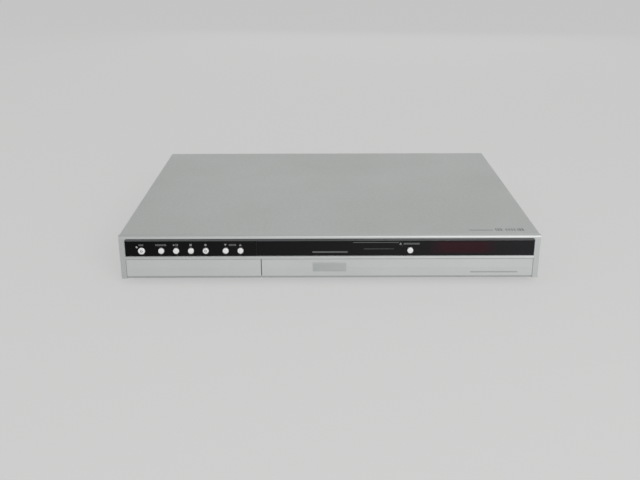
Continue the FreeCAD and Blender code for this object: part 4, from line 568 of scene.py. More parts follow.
@dataclass(frozen=True)
class WindowFinish(Finish):
    """The black window: a painted reflection on its satin bevel, a painted sheen on its face that grows towards the
    right, and the dim red of the display behind it.
    """

    # painted sheen: colour of the face at the right end
    far: Colour = srgb(33, 32, 34)
    # painted reflection on the bevel, at the left end and at the right end
    bevel: Colour = srgb(114, 116, 117)
    bevel_reflection_right: Colour = srgb(74, 76, 77)
    glow_colour: Colour = srgb(46, 24, 30)
    glow_middle: Point = (137.0, 40.4)
    glow_reach: Point = (36.0, 8.0)

    def tinted(self, shader: Shader, colour: bpy.types.NodeSocket) -> bpy.types.NodeSocket:
        """Paints a reflection on the bevel, weaker to the right, paints a sheen on the face, stronger to the right, and
        tints the display's place.

        Args:
            shader: the material's shader helper.
            colour: colour of the flat face.

        Returns:
            The colour over the whole window.
        """
        place = shader.node("ShaderNodeSeparateXYZ")
        shader.tree.links.new(shader.node("ShaderNodeTexCoord").outputs["Object"], place.inputs[0])
        facing = shader.node("ShaderNodeSeparateXYZ")
        shader.tree.links.new(shader.node("ShaderNodeNewGeometry").outputs["Normal"], facing.inputs[0])
        shares = []
        for axis, middle, reach in zip("XZ", self.glow_middle, self.glow_reach):
            away = shader.math("ABSOLUTE", shader.math("SUBTRACT", place.outputs[axis], middle * MM))
            shares.append(shader.ramp(away, reach * MM, reach * 0.55 * MM))
        across = shader.ramp(place.outputs["X"], -0.2, 0.2)
        # painted sheen on the face, growing towards the right
        face = shader.blend(across, colour, self.far)
        lit = shader.blend(shader.math("MULTIPLY", *shares), face, self.glow_colour)
        # painted reflection on the bevel, fading towards the right
        bevel = shader.blend(across, self.bevel, self.bevel_reflection_right)
        # the painted reflection goes where the surface faces up
        return shader.blend(shader.ramp(facing.outputs["Z"], 0.2, 0.6), lit, bevel)


@dataclass(frozen=True)
class WoundFinish(Finish):
    """Close lines across a form: turns of tape on a coil, or the sheets of a core."""

    turns: float = 160.0
    across: Axis = Axis.Z

    def tinted(self, shader: Shader, colour: bpy.types.NodeSocket) -> bpy.types.NodeSocket:
        """Darkens the edge of each turn.

        Args:
            shader: the material's shader helper.
            colour: colour of the tape.

        Returns:
            The colour with the turns.
        """
        place = shader.node("ShaderNodeTexCoord").outputs["Object"]
        wave = shader.node("ShaderNodeTexWave", bands_direction=self.across.name)
        shader.feed(wave, Vector=place, Scale=self.turns, Distortion=0.6, Detail=1.0)
        return shader.blend(shader.ramp(wave.outputs["Fac"], 0.12, 0.0), colour, self.shade)


def plain_darker(colour: Colour, share: float) -> Colour:
    """The same colour with less light.

    Args:
        colour: the colour.
        share: how much of it is left.

    Returns:
        The darker colour.
    """
    return colour[0] * share, colour[1] * share, colour[2] * share


def finish(name: str, levels: Colour, share: float = 0.93, **more: float) -> Finish:
    """A finish from screen levels, whose shade is a little darker.

    Args:
        name: name of the finish.
        levels: red, green and blue of 0 to 255.
        share: how dark the shade is against the colour.
        more: other fields of the finish.

    Returns:
        The finish.
    """
    colour = srgb(*levels)
    return Finish(name, colour, plain_darker(colour, share), **more)


COVER_PAINT = CoverFinish("cover_paint", srgb(173, 176, 174), plain_darker(srgb(173, 176, 174), 0.955), roughness=0.52,
                          spread=0.05, metallic=0.06, specular=0.35, grain=0.16, grain_scale=3000.0, cloud_scale=9.0,
                          dust=0.18, wear=0.12, bare=srgb(200, 201, 200), marks=(
    Mark(144.0, 169.0, -155.6, -152.6, srgb(138, 141, 140), ticked=False),
    Mark(171.5, 179.4, -156.6, -148.8, srgb(122, 125, 124)),
    Mark(181.2, 193.0, -156.4, -149.4, srgb(132, 135, 134)),
    Mark(194.2, 200.8, -156.8, -149.2, srgb(112, 115, 114))))
SILVER = dict(roughness=0.4, spread=0.06, metallic=0.18, grain=0.1, grain_scale=4200.0, cloud_scale=11.0, dust=0.1)
# The bezel's bands are painted light: highlights and shade in its colour, brighter towards the right.
BEZEL_SILVER = PaintedLightBandFinish("bezel_silver", srgb(190, 193, 193), srgb(185, 188, 188), **SILVER, painted_light_bands=(
    # painted shade on the side ends, less of it on the right end
    PaintedLightBand(6.0, 51.0, srgb(176, 178, 178), srgb(182, 185, 185), inner=209.4),
    # painted highlight on the ledge under the window
    PaintedLightBand(29.4, 31.6, srgb(176, 178, 178), srgb(206, 209, 208), outer=209.4),
    # painted highlight on the rounded top edge
    PaintedLightBand(51.2, 52.8, srgb(176, 178, 178), srgb(204, 207, 206)),
    # painted shade where the top edge rounds over onto the top
    PaintedLightBand(52.9, 56.0, srgb(160, 162, 161), srgb(172, 174, 173))))
# The flap and trim carry painted shade in two bands.
SILVER_MOULDING = PaintedLightBandFinish("silver_moulding", srgb(194, 196, 195), srgb(188, 190, 190), **SILVER, painted_light_bands=(
    # painted shade on the rounded lower edge
    PaintedLightBand(6.0, 9.6, srgb(168, 170, 170), srgb(172, 175, 175)),
    # painted shade in the gap under the ledge
    PaintedLightBand(27.7, 29.0, srgb(140, 141, 141), srgb(158, 160, 160))))
WINDOW_BLACK = WindowFinish("window_black", srgb(4, 4, 5), srgb(3, 3, 4), roughness=0.2, spread=0.06,
                           cloud_scale=30.0, dust=0.03, coat=0.05, coat_roughness=0.05, specular=0.1)
BUTTON_SILVER = finish("button_silver", (230, 231, 230), 0.95, roughness=0.3, spread=0.06, metallic=0.15, coat=0.3,
                       dust=0.04)
PRINT_GREY = finish("print_grey", (132, 134, 134), 0.92, roughness=0.55, grain=0.05)
PRINT_DIM = finish("print_dim", (92, 94, 95), 0.9, roughness=0.55, grain=0.05)
LAMP_PALE = finish("lamp_pale", (206, 203, 198), 0.85, roughness=0.2, spread=0.05, coat=0.5, transmission=0.25)
RULE_GREY = finish("rule_grey", (158, 162, 162), 0.94, roughness=0.5, metallic=0.1, grain=0.05)
PAD_SATIN = finish("pad_satin", (176, 179, 179), 0.95, roughness=0.36, metallic=0.25, grain=0.06, grain_scale=5200.0)
DISPLAY_GLASS = finish("display_glass", (38, 34, 34), 0.8, roughness=0.1, spread=0.04, coat=0.6)
PANEL_PAINT = finish("panel_paint", (150, 152, 153), 0.94, roughness=0.48, metallic=0.15, grain=0.14, dust=0.12,
                     wear=0.2, bare=srgb(190, 190, 190))
ZINC_STEEL = finish("zinc_steel", (168, 169, 168), 0.82, roughness=0.38, spread=0.12, metallic=0.85, streak=0.1,
                    cloud_scale=60.0, dust=0.1)
TIN_STEEL = finish("tin_steel", (186, 187, 189), 0.88, roughness=0.3, spread=0.1, metallic=0.9, streak=0.06,
                   cloud_scale=40.0)
RUBBER = finish("rubber_black", (34, 34, 34), 0.75, roughness=0.82, grain=0.3, grain_scale=1500.0, dust=0.3)
MOULDED_BLACK = finish("moulded_black", (30, 30, 31), 0.8, roughness=0.55, grain=0.25, grain_scale=2600.0, dust=0.08)
TRAY_BLACK = finish("tray_black", (46, 46, 48), 0.85, roughness=0.58, grain=0.35, grain_scale=2000.0, dust=0.12,
                    wear=0.25, bare=srgb(84, 84, 86))
ACETAL = finish("acetal", (226, 223, 212), 0.93, roughness=0.42, grain=0.05, dust=0.08)
SOCKET_YELLOW = finish("socket_yellow", (214, 176, 24), 0.88, roughness=0.38, grain=0.08)
SOCKET_WHITE = finish("socket_white", (224, 222, 214), 0.93, roughness=0.4, grain=0.08)
SOCKET_RED = finish("socket_red", (170, 26, 24), 0.85, roughness=0.38, grain=0.08)
SOCKET_GREEN = finish("socket_green", (34, 122, 58), 0.85, roughness=0.38, grain=0.08)
SOCKET_BLUE = finish("socket_blue", (34, 70, 150), 0.85, roughness=0.38, grain=0.08)
NICKEL = finish("nickel", (198, 195, 186), 0.86, roughness=0.2, spread=0.08, metallic=1.0, cloud_scale=120.0, wear=0.2)
BRASS = finish("gold_wash", (204, 176, 96), 0.85, roughness=0.24, spread=0.06, metallic=1.0)
ALUMINIUM = finish("aluminium", (190, 192, 195), 0.9, roughness=0.34, spread=0.08, metallic=0.95, streak=0.12)
BLUE_GLASS = finish("lens_blue", (120, 132, 176), 0.8, roughness=0.05, spread=0.02, coat=1.0, coat_roughness=0.02)
BELT_RUBBER = finish("belt_rubber", (26, 26, 26), 0.8, roughness=0.7, grain=0.12, grain_scale=3000.0)
SHADOW = finish("gap_shadow", (12, 12, 13), 0.8, roughness=0.9, grain=0.05)
SLEEVE_BLUE = finish("capacitor_sleeve", (28, 34, 58), 0.8, roughness=0.35, grain=0.05)
BOARD_GREEN = BoardFinish("board_green", srgb(26, 84, 50), srgb(20, 70, 42), roughness=0.35, grain=0.06)
BOARD_TAN = BoardFinish("board_tan", srgb(176, 142, 92), srgb(158, 124, 78), roughness=0.5, grain=0.1,
                        track=srgb(150, 116, 66))
CAST_METAL = finish("cast_metal", (124, 125, 127), 0.85, roughness=0.46, spread=0.08, metallic=0.7, grain=0.2,
                    grain_scale=1800.0)
CHIP_BLACK = finish("chip_black", (38, 39, 42), 0.85, roughness=0.5, grain=0.12, grain_scale=4000.0)
CERAMIC_TAN = finish("ceramic_tan", (172, 150, 118), 0.88, roughness=0.45, grain=0.05)
CHOKE_GREEN = finish("choke_green", (44, 88, 66), 0.85, roughness=0.5, grain=0.08)
COPPER = finish("enamelled_copper", (168, 84, 44), 0.85, roughness=0.28, metallic=0.85)
FUSE_GLASS = finish("fuse_glass", (208, 214, 212), 0.95, roughness=0.08, spread=0.03, transmission=0.7)
CORE_STEEL = WoundFinish("core_steel", srgb(92, 92, 94), srgb(46, 46, 48), roughness=0.45, metallic=0.6, grain=0.05,
                         turns=260.0, across=Axis.X)
COIL_TAPE = WoundFinish("coil_tape", srgb(206, 176, 60), srgb(150, 120, 34), roughness=0.45, grain=0.05)


class Workshop:
    """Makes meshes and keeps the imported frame: every piece is made, dressed and mounted here."""

    def __init__(self, frame: dict) -> None:
        """Takes the loaded frame.
        """
        self.nodes: dict[str, bpy.types.Object] = frame["nodes"]
        self.made = 0

    def span(self, node: str) -> tuple[list[float], list[float]]:
        """Lowest and highest corner of a CAD node, in millimetres."""
        low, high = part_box(node)
        return [value / MM for value in low], [value / MM for value in high]

    def mount(self, piece: bpy.types.Object, surface: Finish, body: str = ROOT) -> bpy.types.Object:
        """Dresses a piece and lets it ride on a body.

        Args:
            piece: the object.
            surface: its finish.
            body: the body that it moves with.

        Returns:
            The piece.
        """
        piece.data.materials.clear()
        piece.data.materials.append(surface.build())
        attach(piece, body)
        self.made += 1
        LOG.info("piece %s on %s", piece.name, body)
        return piece

    def from_mesh(self, name: str, shape: bmesh.types.BMesh, smooth: float = 35.0) -> bpy.types.Object:
        """An object from a bmesh, shaded smooth below an angle.

        Args:
            name: name of the piece.
            shape: the bmesh, which is freed.
            smooth: angle in degrees below which faces blend.

        Returns:
            The object.
        """
        bmesh.ops.recalc_face_normals(shape, faces=shape.faces)
        mesh = bpy.data.meshes.new(name)
        shape.to_mesh(mesh)
        shape.free()
        piece = bpy.data.objects.new(name, mesh)
        bpy.context.scene.collection.objects.link(piece)
        soften(mesh, smooth)
        return piece

    def block(self, name: str, low: Sequence[float], high: Sequence[float], bevel: float = 0.3) -> bpy.types.Object:
        """A block with rounded edges.

        Args:
            name: name of the piece.
            low: lowest corner in millimetres.
            high: highest corner in millimetres.
            bevel: radius of its edges in millimetres.

        Returns:
            The object.
        """
        shape = bmesh.new()
        add_block(shape, low, high, bevel)
        return self.from_mesh(name, shape)

    def blocks(self, name: str, boxes: Iterable[tuple[Sequence[float], Sequence[float]]],
               bevel: float = 0.2) -> bpy.types.Object:
        """Several rounded blocks as one piece.

        Args:
            name: name of the piece.
            boxes: lowest and highest corner of each, in millimetres.
            bevel: radius of their edges in millimetres.

        Returns:
            The object.
        """
        shape = bmesh.new()
        for low, high in boxes:
            add_block(shape, low, high, bevel)
        return self.from_mesh(name, shape)

    def turned(self, name: str, profiles: Iterable[tuple[Sequence[float], Sequence[Point]]], axis: Axis,
               sides: int = 40, tilt: Matrix | None = None) -> bpy.types.Object:
        """One or more turned forms, each a profile of radius and place along the axis.

        Args:
            name: name of the piece.
            profiles: middle in millimetres and profile of each form.
            axis: the axis that they are turned about.
            sides: flats round a turn.
            tilt: a last turn of the whole piece.

        Returns:
            The object.
        """
        shape = bmesh.new()
        for middle, profile in profiles:
            add_turned(shape, middle, profile, axis, sides)
        if tilt:
            bmesh.ops.transform(shape, matrix=tilt, verts=shape.verts)
        return self.from_mesh(name, shape)

    def flat(self, name: str, outlines: Iterable[Sequence[Point]], axis: Axis, start: float, end: float,
             bevel: float = 0.0) -> bpy.types.Object:
        """Flat shapes with thickness. An outline inside another is a hole in it.

        Args:
            name: name of the piece.
            outlines: closed outlines in millimetres.
            axis: the axis of the thickness.
            start: one face, in millimetres.
            end: the other face, in millimetres.
            bevel: radius of the edges in millimetres.

        Returns:
            The object.
        """
        curve = bpy.data.curves.new(name, "CURVE")
        curve.dimensions = "2D"
        curve.fill_mode = "BOTH"
        for outline in outlines:
            spline = curve.splines.new("POLY")
            spline.points.add(len(outline) - 1)
            for point, (u, v) in zip(spline.points, outline):
                point.co = (u * MM, v * MM, 0.0, 1.0)
            spline.use_cyclic_u = True
        curve.extrude = abs(end - start) * MM / 2 - bevel * MM
        curve.bevel_depth = bevel * MM
        curve.bevel_resolution = 2
        curve.offset = -bevel * MM
        holder = bpy.data.objects.new(name + "_line", curve)
        mesh = bpy.data.meshes.new_from_object(holder)
        bpy.data.objects.remove(holder)
        bpy.data.curves.remove(curve)
        middle = (start + end) / 2 * MM
        for vertex in mesh.vertices:
            vertex.co = set_up(axis, vertex.co.x, vertex.co.y, vertex.co.z + middle)
        shape = bmesh.new()
        shape.from_mesh(mesh)
        bpy.data.meshes.remove(mesh)
        bmesh.ops.remove_doubles(shape, verts=shape.verts, dist=1e-7)
        return self.from_mesh(name, shape)

    def wire(self, name: str, points: Sequence[Sequence[float]], radius: float, closed: bool = False) -> bpy.types.Object:
        """A round wire through points.

        Args:
            name: name of the piece.
            points: points in millimetres.
            radius: radius in millimetres.
            closed: True for a loop.

        Returns:
            The object.
        """
        curve = bpy.data.curves.new(name, "CURVE")
        curve.dimensions = "3D"
        spline = curve.splines.new("NURBS")
        spline.points.add(len(points) - 1)
        for point, place in zip(spline.points, points):
            point.co = (place[0] * MM, place[1] * MM, place[2] * MM, 1.0)
        spline.use_cyclic_u = closed
        spline.use_endpoint_u = True
        spline.order_u = 3
        curve.bevel_depth = radius * MM
        curve.bevel_resolution = 3
        curve.resolution_u = 6
        curve.use_fill_caps = True
        piece = bpy.data.objects.new(name, curve)
        bpy.context.scene.collection.objects.link(piece)
        return piece

    def dress(self, surface: Finish, *names: str, bevel: float = 0.0, angle: float = 38.0) -> None:
        """Gives CAD nodes a finish, and softens their edges.

        Args:
            surface: the finish.
            names: the nodes.
            bevel: width of the softened edge in millimetres, 0 for none.
            angle: edges sharper than this many degrees are softened.
        """
        for name in names:
            node = self.nodes[name]
            material = surface.build()
            if not node.material_slots:
                node.data.materials.append(material)
            for place in node.material_slots:
                place.material = material
            if bevel:
                soft = node.modifiers.new("soft_edges", "BEVEL")
                soft.width = bevel * MM
                soft.segments = 2
                soft.limit_method = "ANGLE"
                soft.angle_limit = math.radians(angle)
                soft.harden_normals = True
            LOG.info("dressed %s with %s", name, surface.name)


def soften(mesh: bpy.types.Mesh, angle: float) -> None:
    """Shades a mesh smooth, apart from edges sharper than an angle.

    Args:
        mesh: the mesh.
        angle: the angle in degrees.
    """
    mesh.shade_smooth()
    mesh.set_sharp_from_angle(angle=math.radians(angle))


def add_block(shape: bmesh.types.BMesh, low: Sequence[float], high: Sequence[float], bevel: float) -> None:
    """Adds a block with rounded edges to a bmesh.

    Args:
        shape: the bmesh.
        low: lowest corner in millimetres.
        high: highest corner in millimetres.
        bevel: radius of its edges in millimetres.
    """
    size = [(high[k] - low[k]) * MM for k in range(3)]
    middle = [(high[k] + low[k]) / 2 * MM for k in range(3)]
    place = Matrix.Translation(middle) @ Matrix.Diagonal((*size, 1.0))
    new = bmesh.ops.create_cube(shape, size=1.0, matrix=place)["verts"]
    if bevel:
        edges = list({edge for vertex in new for edge in vertex.link_edges})
        bmesh.ops.bevel(shape, geom=edges, offset=min(bevel * MM, min(size) * 0.4), segments=3, profile=0.5,
                        affect="EDGES")


def add_turned(shape: bmesh.types.BMesh, middle: Sequence[float], profile: Sequence[Point], axis: Axis,
               sides: int) -> None:
    """Adds a turned form to a bmesh. Where the profile starts or ends on the axis, it closes there.

    Args:
        shape: the bmesh.
        middle: a point of the axis, in millimetres.
        profile: radius and place along the axis from that point, in millimetres.
        axis: the axis.
        sides: flats round a turn.
    """
    centre = Vector(middle) * MM
    rings = []
    for radius, along in profile:
        if radius <= 0:
            rings.append([shape.verts.new(centre + set_up(axis, 0.0, 0.0, along * MM))])
            continue
        turns = [2 * math.pi * step / sides for step in range(sides)]
        rings.append([shape.verts.new(centre + set_up(axis, radius * MM * math.cos(turn), radius * MM * math.sin(turn),
                                                      along * MM)) for turn in turns])
    for first, second in zip(rings, rings[1:]):
        for step in range(sides):
            after = (step + 1) % sides
            if len(first) == 1 and len(second) == 1:
                continue
            if len(first) == 1:
                shape.faces.new((first[0], second[step], second[after]))
            elif len(second) == 1:
                shape.faces.new((first[step], first[after], second[0]))
            else:
                shape.faces.new((first[step], first[after], second[after], second[step]))


def ring_of(radius: float, middle: Point, sides: int = 32, start: float = 0.0) -> list[Point]:
    """The corners of a regular outline.

    Args:
        radius: radius in millimetres.
        middle: its middle.
        sides: number of corners.
        start: angle of the first corner in degrees.

    Returns:
        The corners.
    """
    turns = [math.radians(start) + 2 * math.pi * step / sides for step in range(sides)]
    return [(middle[0] + radius * math.cos(turn), middle[1] + radius * math.sin(turn)) for turn in turns]


def oblong(left: float, right: float, low: float, high: float) -> list[Point]:
    """The corners of an upright rectangle, in millimetres."""
    return [(left, low), (right, low), (right, high), (left, high)]


def soft_oblong(left: float, right: float, low: float, high: float, radius: float) -> list[Point]:
    """The corners of an upright rectangle with rounded corners.

    Args:
        left: its left side in millimetres.
        right: its right side.
        low: its lower side.
        high: its upper side.
        radius: radius of its corners.

    Returns:
        The corners.
    """
    points = []
    for x, y, start in ((right, high, 0), (left, high, 90), (left, low, 180), (right, low, 270)):
        middle_x = x - radius if x == right else x + radius
        middle_y = y - radius if y == high else y + radius
        points += [(middle_x + radius * math.cos(math.radians(start + step)),
                    middle_y + radius * math.sin(math.radians(start + step))) for step in range(0, 91, 15)]
    return points


def cap_profile(radius: float, front: float, back: float, round_edge: float, dome: float) -> list[Point]:
    """Profile of a button's cap: domed face, rounded rim, straight side.

    Args:
        radius: radius of the cap in millimetres.
        front: place of its face along the axis.
        back: place of its end.
        round_edge: radius of its rim.
        dome: how far the middle of the face stands out.

    Returns:
        The profile, from the middle of the face.
    """
    profile = [(0.0, front)]
    flat = radius - round_edge
    profile += [(flat * share, front + dome * share * share) for share in (0.35, 0.7, 1.0)]
    for step in range(1, 5):
        turn = math.pi / 2 * step / 4
        profile.append((flat + round_edge * math.sin(turn), front + dome + round_edge * (1 - math.cos(turn))))
    return profile + [(radius, back), (0.0, back)]


FRONT = -169.0
FLOOR = 7.0


@dataclass
class PrintedMarks:
    """The printed symbols on the window and the plain rules on the tray door."""

    face: float = FRONT + 1.2
    thickness: float = 0.03
    trim_face: float = FRONT + 0.32
    row: float = FLOOR + 36.5
    height: float = 2.3
    play_x: float = -157.2
    stop_x: float = -142.0
    record_x: float = -126.8
    down_x: float = -106.4
    up_x: float = -91.2
    source_x: float = -172.4
    power_x: float = -192.6
    eject_x: float = 72.6
    eject_row: float = FLOOR + 37.4
    eject_bar: Point = (75.9, 92.6)
    lettering: float = 0.95
    tick: float = 0.95
    tick_pitch: float = 1.25

    def triangle(self, x: float, z: float, up: bool, size: float = 1.0) -> list[Point]:
        """A flat triangle.

        Args:
            x: its middle.
            z: its middle.
            up: True if it points up.
            size: its size against the row's height.

        Returns:
            The corners.
        """
        half, rise = self.height * 0.62 * size, self.height * 0.5 * size * (1 if up else -1)
        return [(x - half, z - rise), (x + half, z - rise), (x, z + rise)]

    def play_pause(self) -> list[list[Point]]:
        """A triangle that points right, and two bars."""
        x, z, half = self.play_x - 1.6, self.row, self.height / 2
        shapes = [[(x - half, z - half), (x + half * 0.9, z), (x - half, z + half)]]
        for start in (1.6, 3.0):
            shapes.append(oblong(x + start, x + start + 0.7, z - half, z + half))
        return shapes

    def build(self, shop: Workshop) -> None:
        """Prints every mark.

        Args:
            shop: the workshop.
        """
        half = self.height / 2
        shapes = self.play_pause()
        shapes.append(oblong(self.stop_x - half, self.stop_x + half, self.row - half, self.row + half))
        shapes.append(ring_of(half * 1.05, (self.record_x, self.row), 28))
        shapes.append(self.triangle(self.down_x, self.row, False))
        shapes.append(self.triangle(self.up_x, self.row, True))
        middle = (self.down_x + self.up_x) / 2
        shapes.append(self.triangle(self.eject_x, self.eject_row + 0.4, True, 0.8))
        shapes.append(oblong(self.eject_x - 1.2, self.eject_x + 1.2, self.eject_row - 1.2, self.eject_row - 0.75))
        marks = shop.flat("window_marks", shapes, Axis.Y, self.face - self.thickness, self.face)
        shop.mount(marks, PRINT_GREY)
        bars = [(self.power_x - 2.6, self.power_x + 2.6, self.row), (self.source_x - 5.6, self.source_x + 5.6, self.row),
                (middle - 4.0, middle + 4.0, self.row), (*self.eject_bar, self.eject_row)]
        rules = [oblong(left + step * self.tick_pitch, left + step * self.tick_pitch + self.tick, row - self.lettering,
                        row + self.lettering) for left, right, row in bars
                 for step in range(round((right - left) / self.tick_pitch))]
        shop.mount(shop.flat("window_rules", rules, Axis.Y, self.face - self.thickness, self.face), PRINT_DIM)
        bright = shop.flat("door_rule_low", [oblong(-17.5, 18.5, FLOOR + 27.7, FLOOR + 29.3)], Axis.Y,
                           self.face - self.thickness, self.face)
        shop.mount(bright, PRINT_DIM, "tray")
        dim = shop.flat("door_rules_high", [oblong(35.0, 66.0, FLOOR + 31.6, FLOOR + 32.0),
                                            oblong(24.0, 71.0, FLOOR + 38.5, FLOOR + 39.1)],
                        Axis.Y, self.face - self.thickness, self.face)
        shop.mount(dim, PRINT_DIM, "tray")
        plain = shop.flat("trim_rule", [oblong(145.0, 194.0, FLOOR + 5.8, FLOOR + 7.2)], Axis.Y,
                          self.trim_face - self.thickness, self.trim_face)
        shop.mount(plain, RULE_GREY)


@dataclass
class PushButtons:
    """The round buttons with their domed caps, flanges and stems, and the lamp beside the power button."""

    radius: float = 3.05
    power_radius: float = 3.6
    front: float = FRONT + 0.2
    flange_front: float = FRONT + 4.0
    flange: float = 4.6
    stem: float = 1.6
    stem_end: float = FRONT + 7.5
    row: float = FLOOR + 30.1
    places: dict[str, float] = field(default_factory=lambda: {
        "power": -192.6, "source": -172.4, "play": -157.2, "stop": -142.0, "record": -126.8,
        "channel_down": -106.4, "channel_up": -91.2, "eject": 82.7})

    def holder_profile(self) -> list[Point]:
        """Profile of the dark holder behind a cap: its flange and its stem."""
        start, back = self.flange_front, self.flange_front + 1.0
        return [(0.0, start), (self.flange - 0.2, start), (self.flange, start + 0.2), (self.flange, back),
                (self.stem, back), (self.stem, self.stem_end), (0.0, self.stem_end)]

    def build(self, shop: Workshop) -> None:
        """Makes every button in place of its plain node.

        Args:
            shop: the workshop.
        """
        for name, x in self.places.items():
            radius = self.power_radius if name == "power" else self.radius
            forms = ((f"{name}_cap", cap_profile(radius, self.front, self.flange_front - 0.02, 0.55, 0.16), BUTTON_SILVER),
                     (f"{name}_holder", self.holder_profile(), MOULDED_BLACK))
            for label, profile, surface in forms:
                piece = shop.turned(label, [((x, 0.0, self.row), profile)], Axis.Y, 48)
                shop.mount(piece, surface, f"{name}_button")
                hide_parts(f"{name}_button")
        for name in ("power", "record"):
            middle = (self.places[name], self.row)
            ring = shop.flat(f"{name}_ring", [ring_of(1.25, middle, 32), ring_of(0.75, middle, 32)], Axis.Y,
                             self.front - 0.02, self.front + 0.1)
            shop.mount(ring, PRINT_DIM, f"{name}_button")
        shop.dress(LAMP_PALE, "standby_lamp", bevel=0.2)


@dataclass
class FrontPanel:
    """The moulded front with its window, trims, flap and display."""

    pad_half: float = 17.2
    pad_low: float = FLOOR + 7.6
    pad_high: float = FLOOR + 17.2
    pad_face: float = FRONT + 0.02
    corner: Point = (209.2, 50.4)
    corner_radius: float = 2.2

    def window_corners(self, shop: Workshop) -> None:
        """Rounds the window's two upper corners with small fillets of the moulding."""
        x, z, radius = *self.corner, self.corner_radius
        arc = [(x - radius + radius * math.cos(turn), z - radius + radius * math.sin(turn))
               for turn in (math.radians(step) for step in range(0, 91, 10))]
        shape = [(x + 0.4, z - radius), *arc, (x - radius, z + 0.4), (x + 0.4, z + 0.4)]
        fillets = shop.flat("window_corners", [shape, [(-u, v) for u, v in shape]], Axis.Y, FRONT + 0.6, FRONT + 3.0)
        shop.mount(fillets, BEZEL_SILVER)

    def build(self, shop: Workshop) -> None:
        """Dresses the front's nodes and adds the display's tint.

        Args:
            shop: the workshop.
        """
        shop.dress(BEZEL_SILVER, "front_bezel", bevel=0.22)
        shop.dress(SILVER_MOULDING, "lower_trim", "jack_flap", bevel=0.22)
        shop.dress(WINDOW_BLACK, "front_window", "tray_door", bevel=0.14)
        pad = shop.flat("plain_pad", [soft_oblong(-self.pad_half, self.pad_half, self.pad_low, self.pad_high, 1.2)],
                        Axis.Y, self.pad_face, self.pad_face + 0.4, 0.04)
        shop.mount(pad, PAD_SATIN)
        self.window_corners(shop)
        shop.dress(DISPLAY_GLASS, "display_module", bevel=0.3)
        shop.dress(MOULDED_BLACK, "remote_sensor", "tact_switches", bevel=0.15)
        shop.dress(BOARD_GREEN, "front_board")


@dataclass
class Case:
    """The painted cover, the steel pan, the rear plate and the feet."""

    foot_radius: float = 13.0
    foot_taper: float = 2.0
    foot_spots: tuple[Point, ...] = ((-173.0, -127.0), (173.0, -127.0), (-173.0, 123.0), (173.0, 123.0))

    def foot_profile(self) -> list[Point]:
        """Profile of a foot, from the middle of its sole upward: a rim round a hollow with a screw head."""
        low = self.foot_radius - self.foot_taper
        return [(0.0, 1.4), (3.2, 1.4), (3.4, 0.9), (low - 2.6, 0.7), (low - 2.2, 0.0), (low - 0.5, 0.0), (low, 0.5),
                (low + 0.9, 3.2), (self.foot_radius - 0.3, 6.6), (self.foot_radius, 7.0), (0.0, 7.0)]

    def build(self, shop: Workshop) -> None:
        """Dresses the case and makes its feet.

        Args:
            shop: the workshop.
        """
        shop.dress(COVER_PAINT, "top_cover", bevel=0.18)
        shop.dress(ZINC_STEEL, "base_chassis", bevel=0.2)
        shop.dress(PANEL_PAINT, "rear_panel", bevel=0.15)
        feet = shop.turned("rubber_feet", [((x, y, 0.0), self.foot_profile()) for x, y in self.foot_spots], Axis.Z, 44)
        shop.mount(feet, RUBBER)
        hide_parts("feet")


@dataclass
class Screws:
    """Cross-headed screws round the rear panel."""

    radius: float = 3.2
    rise: float = 1.4
    face: float = FRONT + 330.0
    spots: tuple[Point, ...] = ((-208.2, 14.0), (-208.2, 47.2), (208.2, 14.0), (208.2, 47.2), (-60.0, 48.2),
                                (-160.0, 14.0), (-160.0, 47.2))

    def head(self) -> list[Point]:
        """Profile of a pan head, from its seat outward."""
        return [(0.0, 0.0), (self.radius, 0.0), (self.radius, 0.35), (self.radius * 0.86, 0.95),
                (self.radius * 0.55, self.rise - 0.08), (0.0, self.rise)]

    def build(self, shop: Workshop) -> None:
        """Makes the heads and their cross recesses.

        Args:
            shop: the workshop.
        """
        heads = shop.turned("screw_heads", [((x, self.face, z), self.head()) for x, z in self.spots], Axis.Y, 28)
        shop.mount(heads, NICKEL)
        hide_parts("case_screws")
        crosses = []
        arm, half = self.radius * 0.55, 0.42
        for x, z in self.spots:
            crosses.append([(x - arm, z - half), (x - half, z - half), (x - half, z - arm), (x + half, z - arm),
                            (x + half, z - half), (x + arm, z - half), (x + arm, z + half), (x + half, z + half),
                            (x + half, z + arm), (x - half, z + arm), (x - half, z + half), (x - arm, z + half)])
        recess = shop.flat("screw_recesses", crosses, Axis.Y, self.face + 0.9, self.face + self.rise + 0.01)
        shop.mount(recess, SHADOW)


